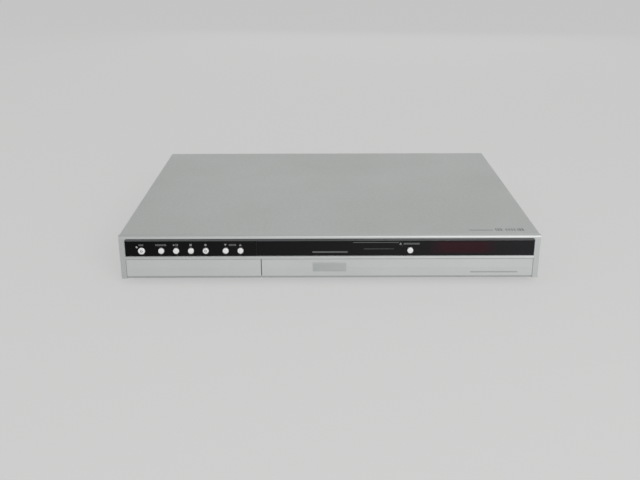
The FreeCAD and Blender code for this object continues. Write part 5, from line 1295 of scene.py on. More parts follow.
@dataclass
class PhonoSockets:
    """Phono sockets: black bodies, coloured collars, nickel sleeves and the hole for the pin."""

    radius: float = 4.15
    reach: float = 7.6
    bore: float = 1.6
    block: float = 5.5
    rear_face: float = FRONT + 328.8
    front_face: float = FRONT + 17.0
    columns: tuple[float, ...] = (-6.0, 15.0, 36.0, 57.0)
    rows: tuple[float, ...] = (21.3, 33.5, 45.7)
    front_columns: tuple[float, ...] = (-190.0, -172.0, -154.0)
    front_row: float = FLOOR + 11.6

    def sleeve(self, way: float) -> list[Point]:
        """Profile of a sleeve, from its seat to its mouth and down the hole.

        Args:
            way: 1 if it points to the back, -1 if to the front.

        Returns:
            The profile.
        """
        steps = [(0.0, 0.0), (self.radius, 0.0), (self.radius, self.reach - 0.7), (self.radius - 0.35, self.reach),
                 (self.radius - 1.0, self.reach), (self.radius - 1.15, self.reach - 0.5),
                 (self.bore + 0.35, self.reach - 0.5), (self.bore, self.reach - 0.9), (self.bore, 1.2), (0.0, 1.2)]
        return [(radius, along * way) for radius, along in steps]

    def collar(self, way: float) -> list[Point]:
        """Profile of the coloured insulator round the foot of a sleeve."""
        steps = [(self.radius + 0.02, 0.0), (self.radius + 0.75, 0.0), (self.radius + 0.75, 1.5),
                 (self.radius + 0.5, 1.9), (self.radius + 0.02, 1.9)]
        return [(radius, along * way) for radius, along in steps]

    def core(self, way: float) -> list[Point]:
        """Profile of the coloured disc inside the mouth."""
        steps = [(self.bore + 0.05, self.reach - 0.46), (self.radius - 1.1, self.reach - 0.46),
                 (self.radius - 1.1, self.reach - 0.2), (self.bore + 0.3, self.reach - 0.2),
                 (self.bore + 0.05, self.reach - 0.46)]
        return [(radius, along * way) for radius, along in steps]

    def bodies(self, shop: Workshop) -> None:
        """Makes the moulded bodies of both sets, in place of the plain nodes."""
        half = self.block
        rear = [((x - half, self.rear_face - 5.6, z - half), (x + half, self.rear_face, z + half))
                for x in self.columns for z in self.rows]
        rear_body = shop.blocks("rear_phono_bodies", rear, 0.35)
        shop.mount(rear_body, MOULDED_BLACK)
        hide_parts("rear_rca_jacks")
        front = [((x - half, self.front_face, self.front_row - half), (x + half, self.front_face + 5.6,
                                                                     self.front_row + half))
                 for x in self.front_columns]
        front_body = shop.blocks("front_phono_bodies", front, 0.35)
        shop.mount(front_body, MOULDED_BLACK)
        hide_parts("front_rca_jacks")

    def build(self, shop: Workshop) -> None:
        """Makes both sets of sockets.

        Args:
            shop: the workshop.
        """
        self.bodies(shop)
        rear = [(x, self.rear_face, z) for x in self.columns for z in self.rows]
        front = [(x, self.front_face, self.front_row) for x in self.front_columns]
        for name, spots, way in (("rear", rear, 1.0), ("front", front, -1.0)):
            sleeves = shop.turned(f"{name}_phono_sleeves", [(spot, self.sleeve(way)) for spot in spots], Axis.Y, 36)
            shop.mount(sleeves, NICKEL)
        order = (SOCKET_RED, SOCKET_WHITE, SOCKET_YELLOW)
        sets: dict[str, tuple[Finish, list, float]] = {}
        for column, x in enumerate(self.columns):
            for row, z in enumerate(self.rows):
                colour = order[row]
                if column == 3:
                    colour = (SOCKET_RED, SOCKET_BLUE, SOCKET_GREEN)[row]
                sets.setdefault(f"rear_{colour.name}", (colour, [], 1.0))[1].append((x, self.rear_face, z))
        for colour, x in zip((SOCKET_YELLOW, SOCKET_WHITE, SOCKET_RED), self.front_columns):
            sets.setdefault(f"front_{colour.name}", (colour, [], -1.0))[1].append((x, self.front_face, self.front_row))
        for name, (colour, spots, way) in sets.items():
            forms = [(spot, self.collar(way)) for spot in spots if way > 0] + [(spot, self.core(way)) for spot in spots]
            shop.mount(shop.turned(f"{name}_inserts", forms, Axis.Y, 36), colour)


@dataclass
class RearSockets:
    """Video, optical and aerial sockets, the tuner's tin and the mains inlet."""

    video_x: float = 82.0
    video_rows: tuple[float, ...] = (23.3, 43.7)
    aerial_x: tuple[float, ...] = (152.0, 176.0)
    aerial_row: float = FLOOR + 19.6
    optical_x: float = 106.0
    inlet_x: float = -184.0
    inlet_row: float = FLOOR + 22.0
    back: float = FRONT + 330.0

    def video_pins(self, shop: Workshop) -> None:
        """Four brass contacts in a half ring, and the key, in each video socket."""
        forms = []
        for z in self.video_rows:
            for angle in (205.0, 248.0, 292.0, 335.0):
                x = self.video_x + 2.3 * math.cos(math.radians(angle))
                height = z + 2.3 * math.sin(math.radians(angle)) + 0.6
                forms.append(((x, self.back - 5.0, height), [(0.0, 0.0), (0.45, 0.0), (0.45, 3.2), (0.3, 3.5),
                                                             (0.0, 3.6)]))
        shop.mount(shop.turned("video_contacts", forms, Axis.Y, 12), BRASS)
        keys = shop.blocks("video_keys", [((self.video_x - 1.5, self.back - 5.1, z + 1.2),
                                           (self.video_x + 1.5, self.back - 1.2, z + 2.5))
                                          for z in self.video_rows], 0.2)
        shop.mount(keys, MOULDED_BLACK)

    def aerials(self, shop: Workshop) -> None:
        """A contact in each aerial socket and a threaded collar at its foot."""
        spots = [(x, self.back - 1.9, self.aerial_row) for x in self.aerial_x]
        contacts = shop.turned("aerial_contacts", [(spot, [(0.0, 0.0), (1.3, 0.0), (1.3, 6.8), (1.0, 7.2), (0.55, 7.2),
                                                           (0.55, 2.0), (0.0, 2.0)]) for spot in spots], Axis.Y, 24)
        shop.mount(contacts, BRASS)
        liners = shop.turned("aerial_liners", [((x, self.back + 0.5, self.aerial_row),
                                                [(1.7, 0.0), (3.35, 0.0), (3.35, 1.2), (1.7, 1.2), (1.7, 0.0)])
                                               for x in self.aerial_x], Axis.Y, 30)
        shop.mount(liners, ACETAL)
        washers = shop.turned("aerial_washers", [((x, self.back + 0.02, self.aerial_row),
                                                  [(4.72, 0.0), (6.3, 0.0), (6.4, 0.2), (6.3, 0.5), (4.72, 0.5)])
                                                 for x in self.aerial_x], Axis.Y, 36)
        shop.mount(washers, NICKEL)

    def shutter(self, shop: Workshop) -> None:
        """The small dust shutter in the mouth of the optical output."""
        low = FLOOR + 8.6 + 2.4
        plate = shop.block("optical_shutter", (self.optical_x - 2.8, self.back - 2.6, low),
                           (self.optical_x + 2.8, self.back - 2.0, low + 5.6), 0.15)
        shop.mount(plate, MOULDED_BLACK)

    def build(self, shop: Workshop) -> None:
        """Dresses the nodes and adds what is inside them.

        Args:
            shop: the workshop.
        """
        shop.dress(MOULDED_BLACK, "svideo_sockets", "optical_socket", "ac_inlet", bevel=0.3)
        shop.dress(TIN_STEEL, "tuner_module", bevel=0.25)
        shop.dress(NICKEL, "front_digital_socket", bevel=0.15)
        self.video_pins(shop)
        self.aerials(shop)
        self.shutter(shop)
        pins = shop.turned("inlet_pins", [((self.inlet_x + side * 4.3, self.back - 11.9, self.inlet_row),
                                           [(0.0, 0.0), (1.24, 0.0), (1.24, 8.4), (0.8, 9.0), (0.0, 9.2)])
                                          for side in (-1, 1)], Axis.Y, 20)
        shop.mount(pins, NICKEL)


@dataclass
class Fan:
    """The case fan: moulded frame, hub and pitched blades."""

    def build(self, shop: Workshop) -> None:
        """Dresses the fan.

        Args:
            shop: the workshop.
        """
        shop.dress(MOULDED_BLACK, "fan_frame", "fan_rotor", bevel=0.2)


@dataclass(frozen=True)
class Chip:
    """A chip on a board: its middle as shares of the board, its size in millimetres and its leads."""

    across: float
    along: float
    width: float
    length: float
    height: float
    pitch: float = 1.0
    four_sided: bool = True


@dataclass(frozen=True)
class Can:
    """An upright capacitor: its middle as shares of the board, radius and height in millimetres."""

    across: float
    along: float
    radius: float
    height: float


@dataclass
class BoardParts:
    """A circuit board with its chips, capacitors, connectors and rows of small parts."""

    node: str
    chips: tuple[Chip, ...] = ()
    cans: tuple[Can, ...] = ()
    headers: tuple[tuple[float, float, int, bool], ...] = ()
    rows: tuple[tuple[float, float, int, int], ...] = ()
    top: float = FLOOR + 8.6
    lead: float = 0.9
    pin_pitch: float = 2.0

    def spot(self, shop: Workshop, across: float, along: float) -> Point:
        """Turns shares of the board into a place in millimetres."""
        low, high = shop.span(self.node)
        return low[0] + across * (high[0] - low[0]), low[1] + along * (high[1] - low[1])

    def chip_set(self, shop: Workshop) -> None:
        """Makes the chips' bodies over the plain ones, with dimples and leads."""
        bodies, leads, dimples = [], [], []
        for chip in self.chips:
            x, y = self.spot(shop, chip.across, chip.along)
            half_x, half_y = chip.width / 2 + 0.06, chip.length / 2 + 0.06
            bodies.append(((x - half_x, y - half_y, self.top), (x + half_x, y + half_y, self.top + chip.height + 0.06)))
            dimples.append(((x - half_x + 2.0, y + half_y - 2.0, self.top + chip.height + 0.07),
                            [(0.0, 0.0), (0.7, 0.0), (0.8, 0.06), (0.55, 0.02), (0.0, 0.02)]))
            for side in (-1, 1):
                edge = y + side * half_y
                for step in range(int(chip.width / chip.pitch) - 1):
                    middle = x - half_x + (step + 1) * chip.pitch
                    leads.append(((middle - 0.2, min(edge, edge + side * self.lead), self.top),
                                  (middle + 0.2, max(edge, edge + side * self.lead), self.top + 0.5)))
                edge = x + side * half_x
                for step in range(int(chip.length / chip.pitch) - 1 if chip.four_sided else 0):
                    middle = y - half_y + (step + 1) * chip.pitch
                    leads.append(((min(edge, edge + side * self.lead), middle - 0.2, self.top),
                                  (max(edge, edge + side * self.lead), middle + 0.2, self.top + 0.5)))
        shop.mount(shop.blocks(f"{self.node}_chips", bodies, 0.25), CHIP_BLACK)
        shop.mount(shop.turned(f"{self.node}_dimples", dimples, Axis.Z, 16), PRINT_DIM)
        shop.mount(shop.blocks(f"{self.node}_leads", leads, 0.0), TIN_STEEL)

    def can_set(self, shop: Workshop) -> None:
        """Makes the small capacitors: sleeve and bare top."""
        spots = [((*self.spot(shop, can.across, can.along), self.top), can.radius, can.height) for can in self.cans]
        capacitor_set(shop, f"{self.node}_small", spots)

    def header_set(self, shop: Workshop) -> None:
        """Makes the white connectors: an open box with its pins."""
        boxes, pins = [], []
        for across, along, count, turned in self.headers:
            x, y = self.spot(shop, across, along)
            run = count * self.pin_pitch / 2 + 0.8
            across_x, across_y = (2.6, run) if turned else (run, 2.6)
            for side in (-1, 1):
                boxes.append(((x - across_x, y + side * across_y - 0.45, self.top),
                              (x + across_x, y + side * across_y + 0.45, self.top + 5.5)))
                boxes.append(((x + side * across_x - 0.45, y - across_y, self.top),
                              (x + side * across_x + 0.45, y + across_y, self.top + 5.5)))
            boxes.append(((x - across_x, y - across_y, self.top), (x + across_x, y + across_y, self.top + 1.0)))
            for step in range(count):
                along_run = (step - (count - 1) / 2) * self.pin_pitch
                pin_x, pin_y = (x, y + along_run) if turned else (x + along_run, y)
                pins.append(((pin_x - 0.3, pin_y - 0.3, self.top), (pin_x + 0.3, pin_y + 0.3, self.top + 4.8)))
        shop.mount(shop.blocks(f"{self.node}_headers", boxes, 0.15), ACETAL)
        shop.mount(shop.blocks(f"{self.node}_pins", pins, 0.08), BRASS)

    def row_set(self, shop: Workshop) -> None:
        """Makes fields of small soldered parts, each a dark or pale body between two bright ends."""
        dark, pale, ends = [], [], []
        for across, along, columns, lines in self.rows:
            x, y = self.spot(shop, across, along)
            for column in range(columns):
                for line in range(lines):
                    left, low = x + column * 3.6, y + line * 2.6
                    body = ((left, low, self.top), (left + 1.3, low + 1.1, self.top + 0.55))
                    (pale if (column + line) % 3 else dark).append(body)
                    for end in (left - 0.35, left + 1.3):
                        ends.append(((end, low, self.top), (end + 0.35, low + 1.1, self.top + 0.57)))
        for name, boxes, surface in (("dark", dark, CHIP_BLACK), ("pale", pale, CERAMIC_TAN), ("ends", ends, TIN_STEEL)):
            shop.mount(shop.blocks(f"{self.node}_{name}", boxes, 0.0), surface)

    def build(self, shop: Workshop) -> None:
        """Dresses the board and sets its parts on it.

        Args:
            shop: the workshop.
        """
        shop.dress(BOARD_TAN if self.node == "power_board" else BOARD_GREEN, self.node)
        if self.chips:
            self.chip_set(shop)
        self.can_set(shop)
        self.header_set(shop)
        if self.rows:
            self.row_set(shop)


def capacitor_set(shop: Workshop, name: str, spots: Sequence[tuple[Sequence[float], float, float]]) -> None:
    """Makes upright capacitors, with a crimped foot, a sleeve with a rolled lip and a scored bare top.

    Args:
        shop: the workshop.
        name: start of the pieces' names.
        spots: foot, radius and height of each, in millimetres.
    """
    sleeves, tops, scores = [], [], []
    for (x, y, z), radius, height in spots:
        neck = radius * 0.94
        sleeves.append(((x, y, z), [(0.0, 0.0), (radius - 0.3, 0.0), (radius, 0.3), (radius, 1.4), (neck, 2.0),
                                    (neck, 2.5), (radius, 3.1), (radius, height - 0.4), (radius - 0.4, height),
                                    (radius - 1.0, height), (radius - 1.1, height - 0.3)]))
        tops.append(((x, y, z), [(radius - 1.05, height - 0.9), (radius - 1.05, height - 0.3),
                                 (radius - 1.4, height - 0.22), (0.0, height - 0.22)]))
        arm = (radius - 1.6) * 0.8
        for size_x, size_y in ((arm, 0.12), (0.12, arm)):
            scores.append(((x - size_x, y - size_y, z + height - 0.3), (x + size_x, y + size_y, z + height - 0.19)))
    shop.mount(shop.turned(f"{name}_sleeves", sleeves, Axis.Z, 36), SLEEVE_BLUE)
    shop.mount(shop.turned(f"{name}_tops", tops, Axis.Z, 36), ALUMINIUM)
    shop.mount(shop.blocks(f"{name}_scores", scores, 0.0), SHADOW)


@dataclass
class PowerParts:
    """Transformer, large capacitors, heat sink with its transistors, fuse and choke on the power board."""

    top: float = FLOOR + 8.6
    core_half: tuple[float, float] = (18.0, 17.0)
    window: tuple[float, float] = (5.5, 13.5)
    limb: float = 5.0
    cans: tuple[Can, ...] = (Can(0.778, 0.204, 9.0, 28.0), Can(0.778, 0.337, 6.3, 24.0), Can(0.778, 0.429, 6.3, 24.0),
                             Can(0.185, 0.153, 8.0, 25.0), Can(0.37, 0.153, 5.0, 20.0))

    def transformer(self, shop: Workshop) -> None:
        """Makes the laminated core, the taped winding and the bobbin's flanges."""
        low, high = shop.span("transformer")
        x, y = (low[0] + high[0]) / 2, (low[1] + high[1]) / 2
        half_x, half_y = self.core_half
        floor, roof = low[2] + self.limb, high[2] - self.limb
        outlines = [soft_oblong(y - half_y, y + half_y, low[2], high[2], 0.6)]
        for side in (-1, 1):
            edges = sorted((y + side * self.window[0] * 0.64, y + side * self.window[1]))
            outlines.append(oblong(edges[0], edges[1], floor, roof))
        core = shop.flat("transformer_core", outlines, Axis.X, x - half_x, x + half_x, 0.25)
        shop.mount(core, CORE_STEEL)
        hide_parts("transformer")
        coil = shop.flat("transformer_winding", [soft_oblong(x - half_x - 2.4, x + half_x + 2.4, y - 12.6, y + 12.6,
                                                             4.0)], Axis.Z, floor + 1.2, roof - 1.2, 0.5)
        shop.mount(coil, COIL_TAPE)
        for name, start in (("lower", floor + 0.2), ("upper", roof - 1.2)):
            flange = shop.flat(f"transformer_{name}_flange", [soft_oblong(low[0], high[0], y - 13.2, y + 13.2, 2.0)],
                               Axis.Z, start, start + 1.0, 0.15)
            shop.mount(flange, MOULDED_BLACK)

    def sink_parts(self, shop: Workshop) -> None:
        """Makes three power transistors on the flat side of the heat sink."""
        low, high = shop.span("heat_sink")
        face, middle = low[1], (low[0] + high[0]) / 2
        bodies, tabs, legs, screws = [], [], [], []
        for x in (middle - 21, middle, middle + 21):
            tabs.append(((x - 5.0, face - 1.3, self.top + 6.0), (x + 5.0, face, self.top + 21.5)))
            bodies.append(((x - 5.0, face - 4.5, self.top + 6.0), (x + 5.0, face - 1.2, self.top + 15.0)))
            legs += [((x + leg - 0.4, face - 3.0, self.top), (x + leg + 0.4, face - 2.5, self.top + 6.2))
                     for leg in (-2.5, 0.0, 2.5)]
            screws.append(((x, face - 1.3, self.top + 18.4), [(0.0, -2.0), (1.8, -1.8), (2.6, -1.0), (2.7, 0.0)]))
        shop.mount(shop.blocks("transistor_tabs", tabs, 0.1), NICKEL)
        shop.mount(shop.blocks("transistor_bodies", bodies, 0.3), CHIP_BLACK)
        shop.mount(shop.blocks("transistor_legs", legs, 0.05), TIN_STEEL)
        shop.mount(shop.turned("transistor_screws", screws, Axis.Y, 20), NICKEL)

    def fuse_and_choke(self, shop: Workshop) -> None:
        """Makes the fuse in its clips, and the choke's ring with its turns of wire."""
        low, high = shop.span("power_board")
        x, y, z = low[0] + 20.0, high[1] - 34.0, self.top + 5.0
        shop.mount(shop.turned("fuse_glass", [((x, y, z), [(0.0, -7.0), (2.2, -7.0), (2.2, 7.0), (0.0, 7.0)])],
                               Axis.Y, 24), FUSE_GLASS)
        caps = [((x, y + end, z), [(0.0, -3.0), (2.5, -3.0), (2.6, -2.7), (2.6, 2.7), (2.5, 3.0), (0.0, 3.0)])
                for end in (-7.2, 7.2)]
        shop.mount(shop.turned("fuse_caps", caps, Axis.Y, 24), NICKEL)
        clips = [((x + side * 2.7 - 0.25, y + end - 2.0, self.top), (x + side * 2.7 + 0.25, y + end + 2.0, z + 1.5))
                 for side in (-1, 1) for end in (-7.2, 7.2)]
        shop.mount(shop.blocks("fuse_clips", clips, 0.1), BRASS)
        x, y = low[0] + 74.0, high[1] - 24.0
        ring = [(5.0, 1.0), (5.6, 0.3), (9.4, 0.3), (10.0, 1.0), (10.0, 6.4), (9.4, 7.0), (5.6, 7.0), (5.0, 6.4),
                (5.0, 1.0)]
        shop.mount(shop.turned("choke_ring", [((x, y, self.top), ring)], Axis.Z, 40), CHOKE_GREEN)
        turns = []
        for step in range(26):
            angle = math.radians(20 + step * 12.3)
            for radius, height in ((4.4, 0.6), (7.5, 7.4), (10.6, 0.6), (7.5, 0.2)):
                turn = angle + math.radians(12.3) * (radius > 5) * 0.3
                turns.append((x + radius * math.cos(turn), y + radius * math.sin(turn), self.top + height))
        shop.mount(shop.wire("choke_winding", turns, 0.42), COPPER)

    def build(self, shop: Workshop) -> None:
        """Makes everything that stands on the power board.

        Args:
            shop: the workshop.
        """
        self.transformer(shop)
        low, high = shop.span("power_board")
        width, length = high[0] - low[0], high[1] - low[1]
        spots = [((low[0] + can.across * width, low[1] + can.along * length, self.top), can.radius, can.height)
                 for can in self.cans]
        capacitor_set(shop, "power", spots)
        shop.mount(shop.turned("capacitor_seats", [((x, y, z), [(radius * 0.5, 0.0), (radius - 0.8, 0.0),
                                                                (radius - 0.8, 0.4), (radius * 0.5, 0.4),
                                                                (radius * 0.5, 0.0)])
                                                   for (x, y, z), radius, height in spots], Axis.Z, 24),
                   MOULDED_BLACK)
        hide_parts("capacitors")
        shop.dress(ALUMINIUM, "heat_sink", bevel=0.12)
        self.sink_parts(shop)
        self.fuse_and_choke(shop)


@dataclass
class Boards:
    """All inner boards."""

    def build(self, shop: Workshop) -> None:
        """Makes the parts of every board.

        Args:
            shop: the workshop.
        """
        BoardParts("signal_board", chips=(
            Chip(0.21, 0.38, 22.0, 22.0, 2.0), Chip(0.42, 0.35, 16.0, 16.0, 2.0),
            Chip(0.57, 0.23, 10.0, 18.0, 2.4, 1.27, False)),
            cans=(Can(0.06, 0.62, 4.0, 11.0), Can(0.12, 0.62, 3.2, 11.0), Can(0.33, 0.72, 3.2, 9.0),
                  Can(0.39, 0.72, 3.2, 9.0), Can(0.50, 0.62, 4.0, 11.0), Can(0.61, 0.5, 3.2, 9.0)),
            headers=((0.06, 0.14, 12, False), (0.30, 0.10, 8, False), (0.70, 0.09, 10, False)),
            rows=((0.29, 0.2, 4, 6), (0.05, 0.3, 6, 3), (0.47, 0.72, 5, 4), (0.12, 0.75, 8, 3))).build(shop)
        BoardParts("disc_board", chips=(
            Chip(0.49, 0.56, 31.0, 31.0, 2.6), Chip(0.22, 0.525, 12.0, 22.0, 1.4, 0.8, False),
            Chip(0.49, 0.31, 22.0, 11.0, 1.4, 0.8), Chip(0.76, 0.8, 20.0, 20.0, 2.0)),
            cans=(Can(0.85, 0.2, 3.2, 8.0), Can(0.85, 0.27, 3.2, 8.0), Can(0.15, 0.8, 4.0, 10.0)),
            headers=((0.09, 0.3, 14, True), (0.5, 0.94, 12, False), (0.92, 0.5, 8, True)),
            rows=((0.7, 0.4, 6, 8), (0.25, 0.2, 6, 4), (0.3, 0.72, 9, 5))).build(shop)
        BoardParts("power_board", cans=(Can(0.9, 0.62, 4.0, 14.0), Can(0.9, 0.57, 4.0, 14.0), Can(0.12, 0.55, 3.2, 11.0)),
                   headers=((0.62, 0.96, 3, False), (0.9, 0.86, 6, True), (0.5, 0.04, 10, False))).build(shop)
        shop.dress(BOARD_GREEN, "jack_board")


@dataclass
class Loader:
    """The steel case of the loader, its moulded frame, the gears, belt and motor, and the clamper."""

    screw_inset: float = 9.0
    bead_half: tuple[float, float] = (58.0, 26.0)
    bead_width: float = 5.0
    bead_rise: float = 0.6

    def lid_details(self, shop: Workshop) -> None:
        """Makes the pressed beads round the clamper's hole and along the lid, and its screws."""
        low, high = shop.span("loader_lid")
        hole_low, hole_high = shop.span("clamper")
        middle = ((hole_low[0] + hole_high[0]) / 2, (hole_low[1] + hole_high[1]) / 2)
        top = high[2]
        bead = shop.turned("lid_bead", [((*middle, top), [(24.0, -0.05), (25.0, 0.45), (26.5, self.bead_rise),
                                                          (28.5, self.bead_rise), (30.0, 0.45), (31.0, -0.05)])],
                           Axis.Z, 72)
        shop.mount(bead, ZINC_STEEL)
        half_x, half_y = self.bead_half
        pads = []
        for y in (high[1] - 34.0, high[1] - 62.0):
            pads.append(soft_oblong(-half_x, half_x, y, y + self.bead_width, 2.4))
        ribs = shop.flat("lid_ribs", pads, Axis.Z, top - 0.1, top + self.bead_rise, 0.3)
        shop.mount(ribs, ZINC_STEEL)
        spots = [(x, y, top) for x in (low[0] + self.screw_inset, high[0] - self.screw_inset)
                 for y in (low[1] + self.screw_inset, high[1] - self.screw_inset)]
        head = [(2.6, 0.0), (2.6, 0.3), (2.2, 0.9), (1.2, 1.3), (0.0, 1.35)]
        shop.mount(shop.turned("lid_screws", [(spot, head) for spot in spots], Axis.Z, 24), NICKEL)

    def drive(self, shop: Workshop) -> None:
        """Dresses the gears, pulley, belt and motor, and makes a band round the motor and the bearing at its top."""
        shop.dress(ACETAL, "drive_gear", "pulley_gear", "cam_slider", bevel=0.1, angle=50.0)
        shop.dress(MOULDED_BLACK, "motor_pulley", bevel=0.1)
        shop.dress(BELT_RUBBER, "drive_belt", bevel=0.15)
        shop.dress(TIN_STEEL, "loading_motor", bevel=0.25)
        low, high = shop.span("loading_motor")
        x, y, radius = (low[0] + high[0]) / 2, (low[1] + high[1]) / 2, (high[0] - low[0]) / 2
        band = shop.turned("motor_band", [((x, y, low[2]), [(radius - 0.05, 3.0), (radius + 0.25, 3.1),
                                                            (radius + 0.25, 6.4), (radius - 0.05, 6.5)])], Axis.Z, 40)
        shop.mount(band, ZINC_STEEL)
        shop.mount(shop.turned("motor_bearing", [((x, y, high[2] - 3.0), [(1.0, 0.05), (1.8, 0.05), (2.4, 0.25),
                                                                          (2.9, 0.1), (3.1, -0.3)])], Axis.Z, 28),
                   BRASS)

    def build(self, shop: Workshop) -> None:
        """Dresses the loader and adds its details.

        Args:
            shop: the workshop.
        """
        shop.dress(ZINC_STEEL, "loader_case", "loader_lid", "clamp_bridge", bevel=0.15)
        shop.dress(MOULDED_BLACK, "loader_frame", bevel=0.2)
        shop.dress(TRAY_BLACK, "clamper", bevel=0.3)
        self.lid_details(shop)
        self.drive(shop)
        low, high = shop.span("clamper")
        x, y, top = (low[0] + high[0]) / 2, (low[1] + high[1]) / 2, high[2]
        yoke = [(0.0, 0.1), (3.0, 0.1), (3.6, 0.35), (9.5, 0.35), (10.2, 0.0), (10.2, -0.2)]
        shop.mount(shop.turned("clamper_yoke", [((x, y, top), yoke)], Axis.Z, 48), TIN_STEEL, "clamper")


@dataclass
class Tray:
    """The disc tray: its black moulding with raised nubs, locating ribs and rubber rest pads."""

    nub_ring: float = 62.6
    nub_radius: float = 1.1
    deck: float = FLOOR + 32.0
    middle: Point = (0.0, -97.65)

    def build(self, shop: Workshop) -> None:
        """Dresses the tray and adds what is moulded on it.

        Args:
            shop: the workshop.
        """
        shop.dress(TRAY_BLACK, "disc_tray", bevel=0.3)
        low, high = shop.span("disc_tray")
        x, y = self.middle
        dome = [(0.0, 0.45), (self.nub_radius * 0.5, 0.4), (self.nub_radius * 0.85, 0.22), (self.nub_radius, -0.05)]
        spots = []
        for turn in (38, 52, 128, 142, 218, 232, 308, 322):
            spots.append((x + self.nub_ring * math.cos(math.radians(turn)),
                          y + self.nub_ring * math.sin(math.radians(turn)), self.deck))
        inside = [spot for spot in spots if abs(spot[0]) < high[0] - 4.5 and low[1] + 4 < spot[1] < high[1] - 2]
        shop.mount(shop.turned("tray_nubs", [(spot, dome) for spot in inside], Axis.Z, 18), TRAY_BLACK, "tray")
        ribs = [((side * 30.0 - 14.0, low[1] + 3.6, self.deck - 0.05), (side * 30.0 + 14.0, low[1] + 4.2, self.deck + 0.5))
                for side in (-1, 1)]
        shop.mount(shop.blocks("tray_ribs", ribs, 0.15), TRAY_BLACK, "tray")
        pads = shop.turned("tray_rest_pads", [((x + 52.0 * math.cos(math.radians(turn)),
                                                y + 52.0 * math.sin(math.radians(turn)), self.deck - 1.8),
                                               [(0.0, 0.22), (1.5, 0.2), (1.8, -0.05)])
                                              for turn in (30, 150, 210, 330)], Axis.Z, 20)
        shop.mount(pads, RUBBER, "tray")


@dataclass
class Traverse:
    """The tilting traverse. Its pieces are made level, as when it is up, and then laid at its rest tilt."""

    pivot: tuple[float, float, float] = (0.0, 15.0, FLOOR + 19.0)
    tilt: float = 3.5626
    reach: float = 112.65
    seat: float = FLOOR + 31.4
    lens_gap: float = 24.0
    screw: tuple[float, float] = (35.5, FLOOR + 16.0)
    screw_radius: float = 1.6
    screw_lead: float = 3.0
    thread_depth: float = 0.32

    def at_rest(self) -> Matrix:
        """The move from the raised place to the place at rest."""
        pivot = Vector(self.pivot) * MM
        return Matrix.Translation(pivot) @ Matrix.Rotation(math.radians(self.tilt), 4, "X") @ Matrix.Translation(-pivot)

    def seat_details(self, shop: Workshop) -> None:
        """Makes the turntable's rubber ring, the hub's nose and its three spring fingers."""
        tilt, y = self.at_rest(), self.pivot[1] - self.reach
        ring = [(11.2, -0.05), (11.4, 0.22), (14.6, 0.22), (14.9, -0.05)]
        shop.mount(shop.turned("seat_ring", [((0.0, y, self.seat), ring)], Axis.Z, 56, tilt), RUBBER, "turntable")
        nose = [(0.0, 2.05), (2.4, 2.05), (3.0, 2.2), (4.4, 2.2), (5.3, 1.95)]
        shop.mount(shop.turned("hub_nose", [((0.0, y, self.seat), nose)], Axis.Z, 40, tilt), TIN_STEEL, "turntable")
        fingers = bmesh.new()
        for turn in (90, 210, 330):
            angle = math.radians(turn)
            start = len(fingers.verts)
            add_block(fingers, (5.2, -1.1, self.seat - 0.2), (7.3, 1.1, self.seat + 1.3), 0.4)
            fingers.verts.ensure_lookup_table()
            place = Matrix.Translation((0.0, y * MM, 0.0)) @ Matrix.Rotation(angle, 4, "Z")
            bmesh.ops.transform(fingers, matrix=tilt @ place, verts=fingers.verts[start:])
        shop.mount(shop.from_mesh("hub_fingers", fingers), ACETAL, "turntable")

    def lens_details(self, shop: Workshop) -> None:
        """Makes the lens's curved glass and its bright ring."""
        tilt, y = self.at_rest(), self.pivot[1] - self.reach + self.lens_gap
        top = self.pivot[2] + 10.2
        glass = [(0.0, 0.3), (0.9, 0.27), (1.7, 0.17), (2.3, 0.03), (2.35, -0.1)]
        shop.mount(shop.turned("lens_glass", [((0.0, y, top), glass)], Axis.Z, 40, tilt), BLUE_GLASS, "lens")
        rim = [(2.4, -0.1), (2.4, 0.12), (2.9, 0.12), (3.15, 0.0), (3.15, -0.2)]
        shop.mount(shop.turned("lens_rim", [((0.0, y, top), rim)], Axis.Z, 40, tilt), BRASS, "lens")

    def thread(self, shop: Workshop) -> None:
        """Makes the lead screw with its helical thread, in place of the plain node."""
        x, z = self.screw
        start, end, tip = self.pivot[1] - self.reach + 15.8, self.pivot[1] - 14.4, self.pivot[1] - 12.8
        shape, sides, step = bmesh.new(), 18, 0.3
        count = int((end - start) / step)
        rings = []
        for number in range(count + 1):
            along = start + (end - start) * number / count
            ring = []
            for side in range(sides):
                turn = 2 * math.pi * side / sides
                phase = (along / self.screw_lead * 2 - turn / math.pi) % 1.0
                radius = self.screw_radius - self.thread_depth * max(0.0, 1 - abs(phase - 0.5) * 3.2)
                ring.append(shape.verts.new((x * MM + radius * MM * math.cos(turn), along * MM,
                                             z * MM + radius * MM * math.sin(turn))))
            rings.append(ring)
        for first, second in zip(rings, rings[1:]):
            for side in range(sides):
                shape.faces.new((first[side], first[(side + 1) % sides], second[(side + 1) % sides], second[side]))
        shape.faces.new(rings[0])
        shape.faces.new(rings[-1])
        add_turned(shape, (x, end, z), [(0.0, -0.2), (1.0, -0.2), (1.0, tip - end), (0.0, tip - end + 0.1)], Axis.Y, 18)
        bmesh.ops.transform(shape, matrix=self.at_rest(), verts=shape.verts)
        screw = shop.mount(shop.from_mesh("lead_screw_thread", shape), NICKEL, "lead_screw")
        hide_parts("lead_screw")

    def build(self, shop: Workshop) -> None:
        """Dresses the traverse and adds its details.

        Args:
            shop: the workshop.
        """
        shop.dress(ZINC_STEEL, "traverse_frame", bevel=0.2)
        shop.dress(RUBBER, "damper_rings", bevel=0.3)
        shop.dress(TIN_STEEL, "spindle_motor", "sled_motor", bevel=0.2)
        shop.dress(MOULDED_BLACK, "turntable", "objective_lens", bevel=0.2)
        shop.dress(CAST_METAL, "pickup_sled", bevel=0.3)
        shop.dress(NICKEL, "guide_rods", bevel=0.2)
        self.seat_details(shop)
        self.lens_details(shop)
        self.thread(shop)


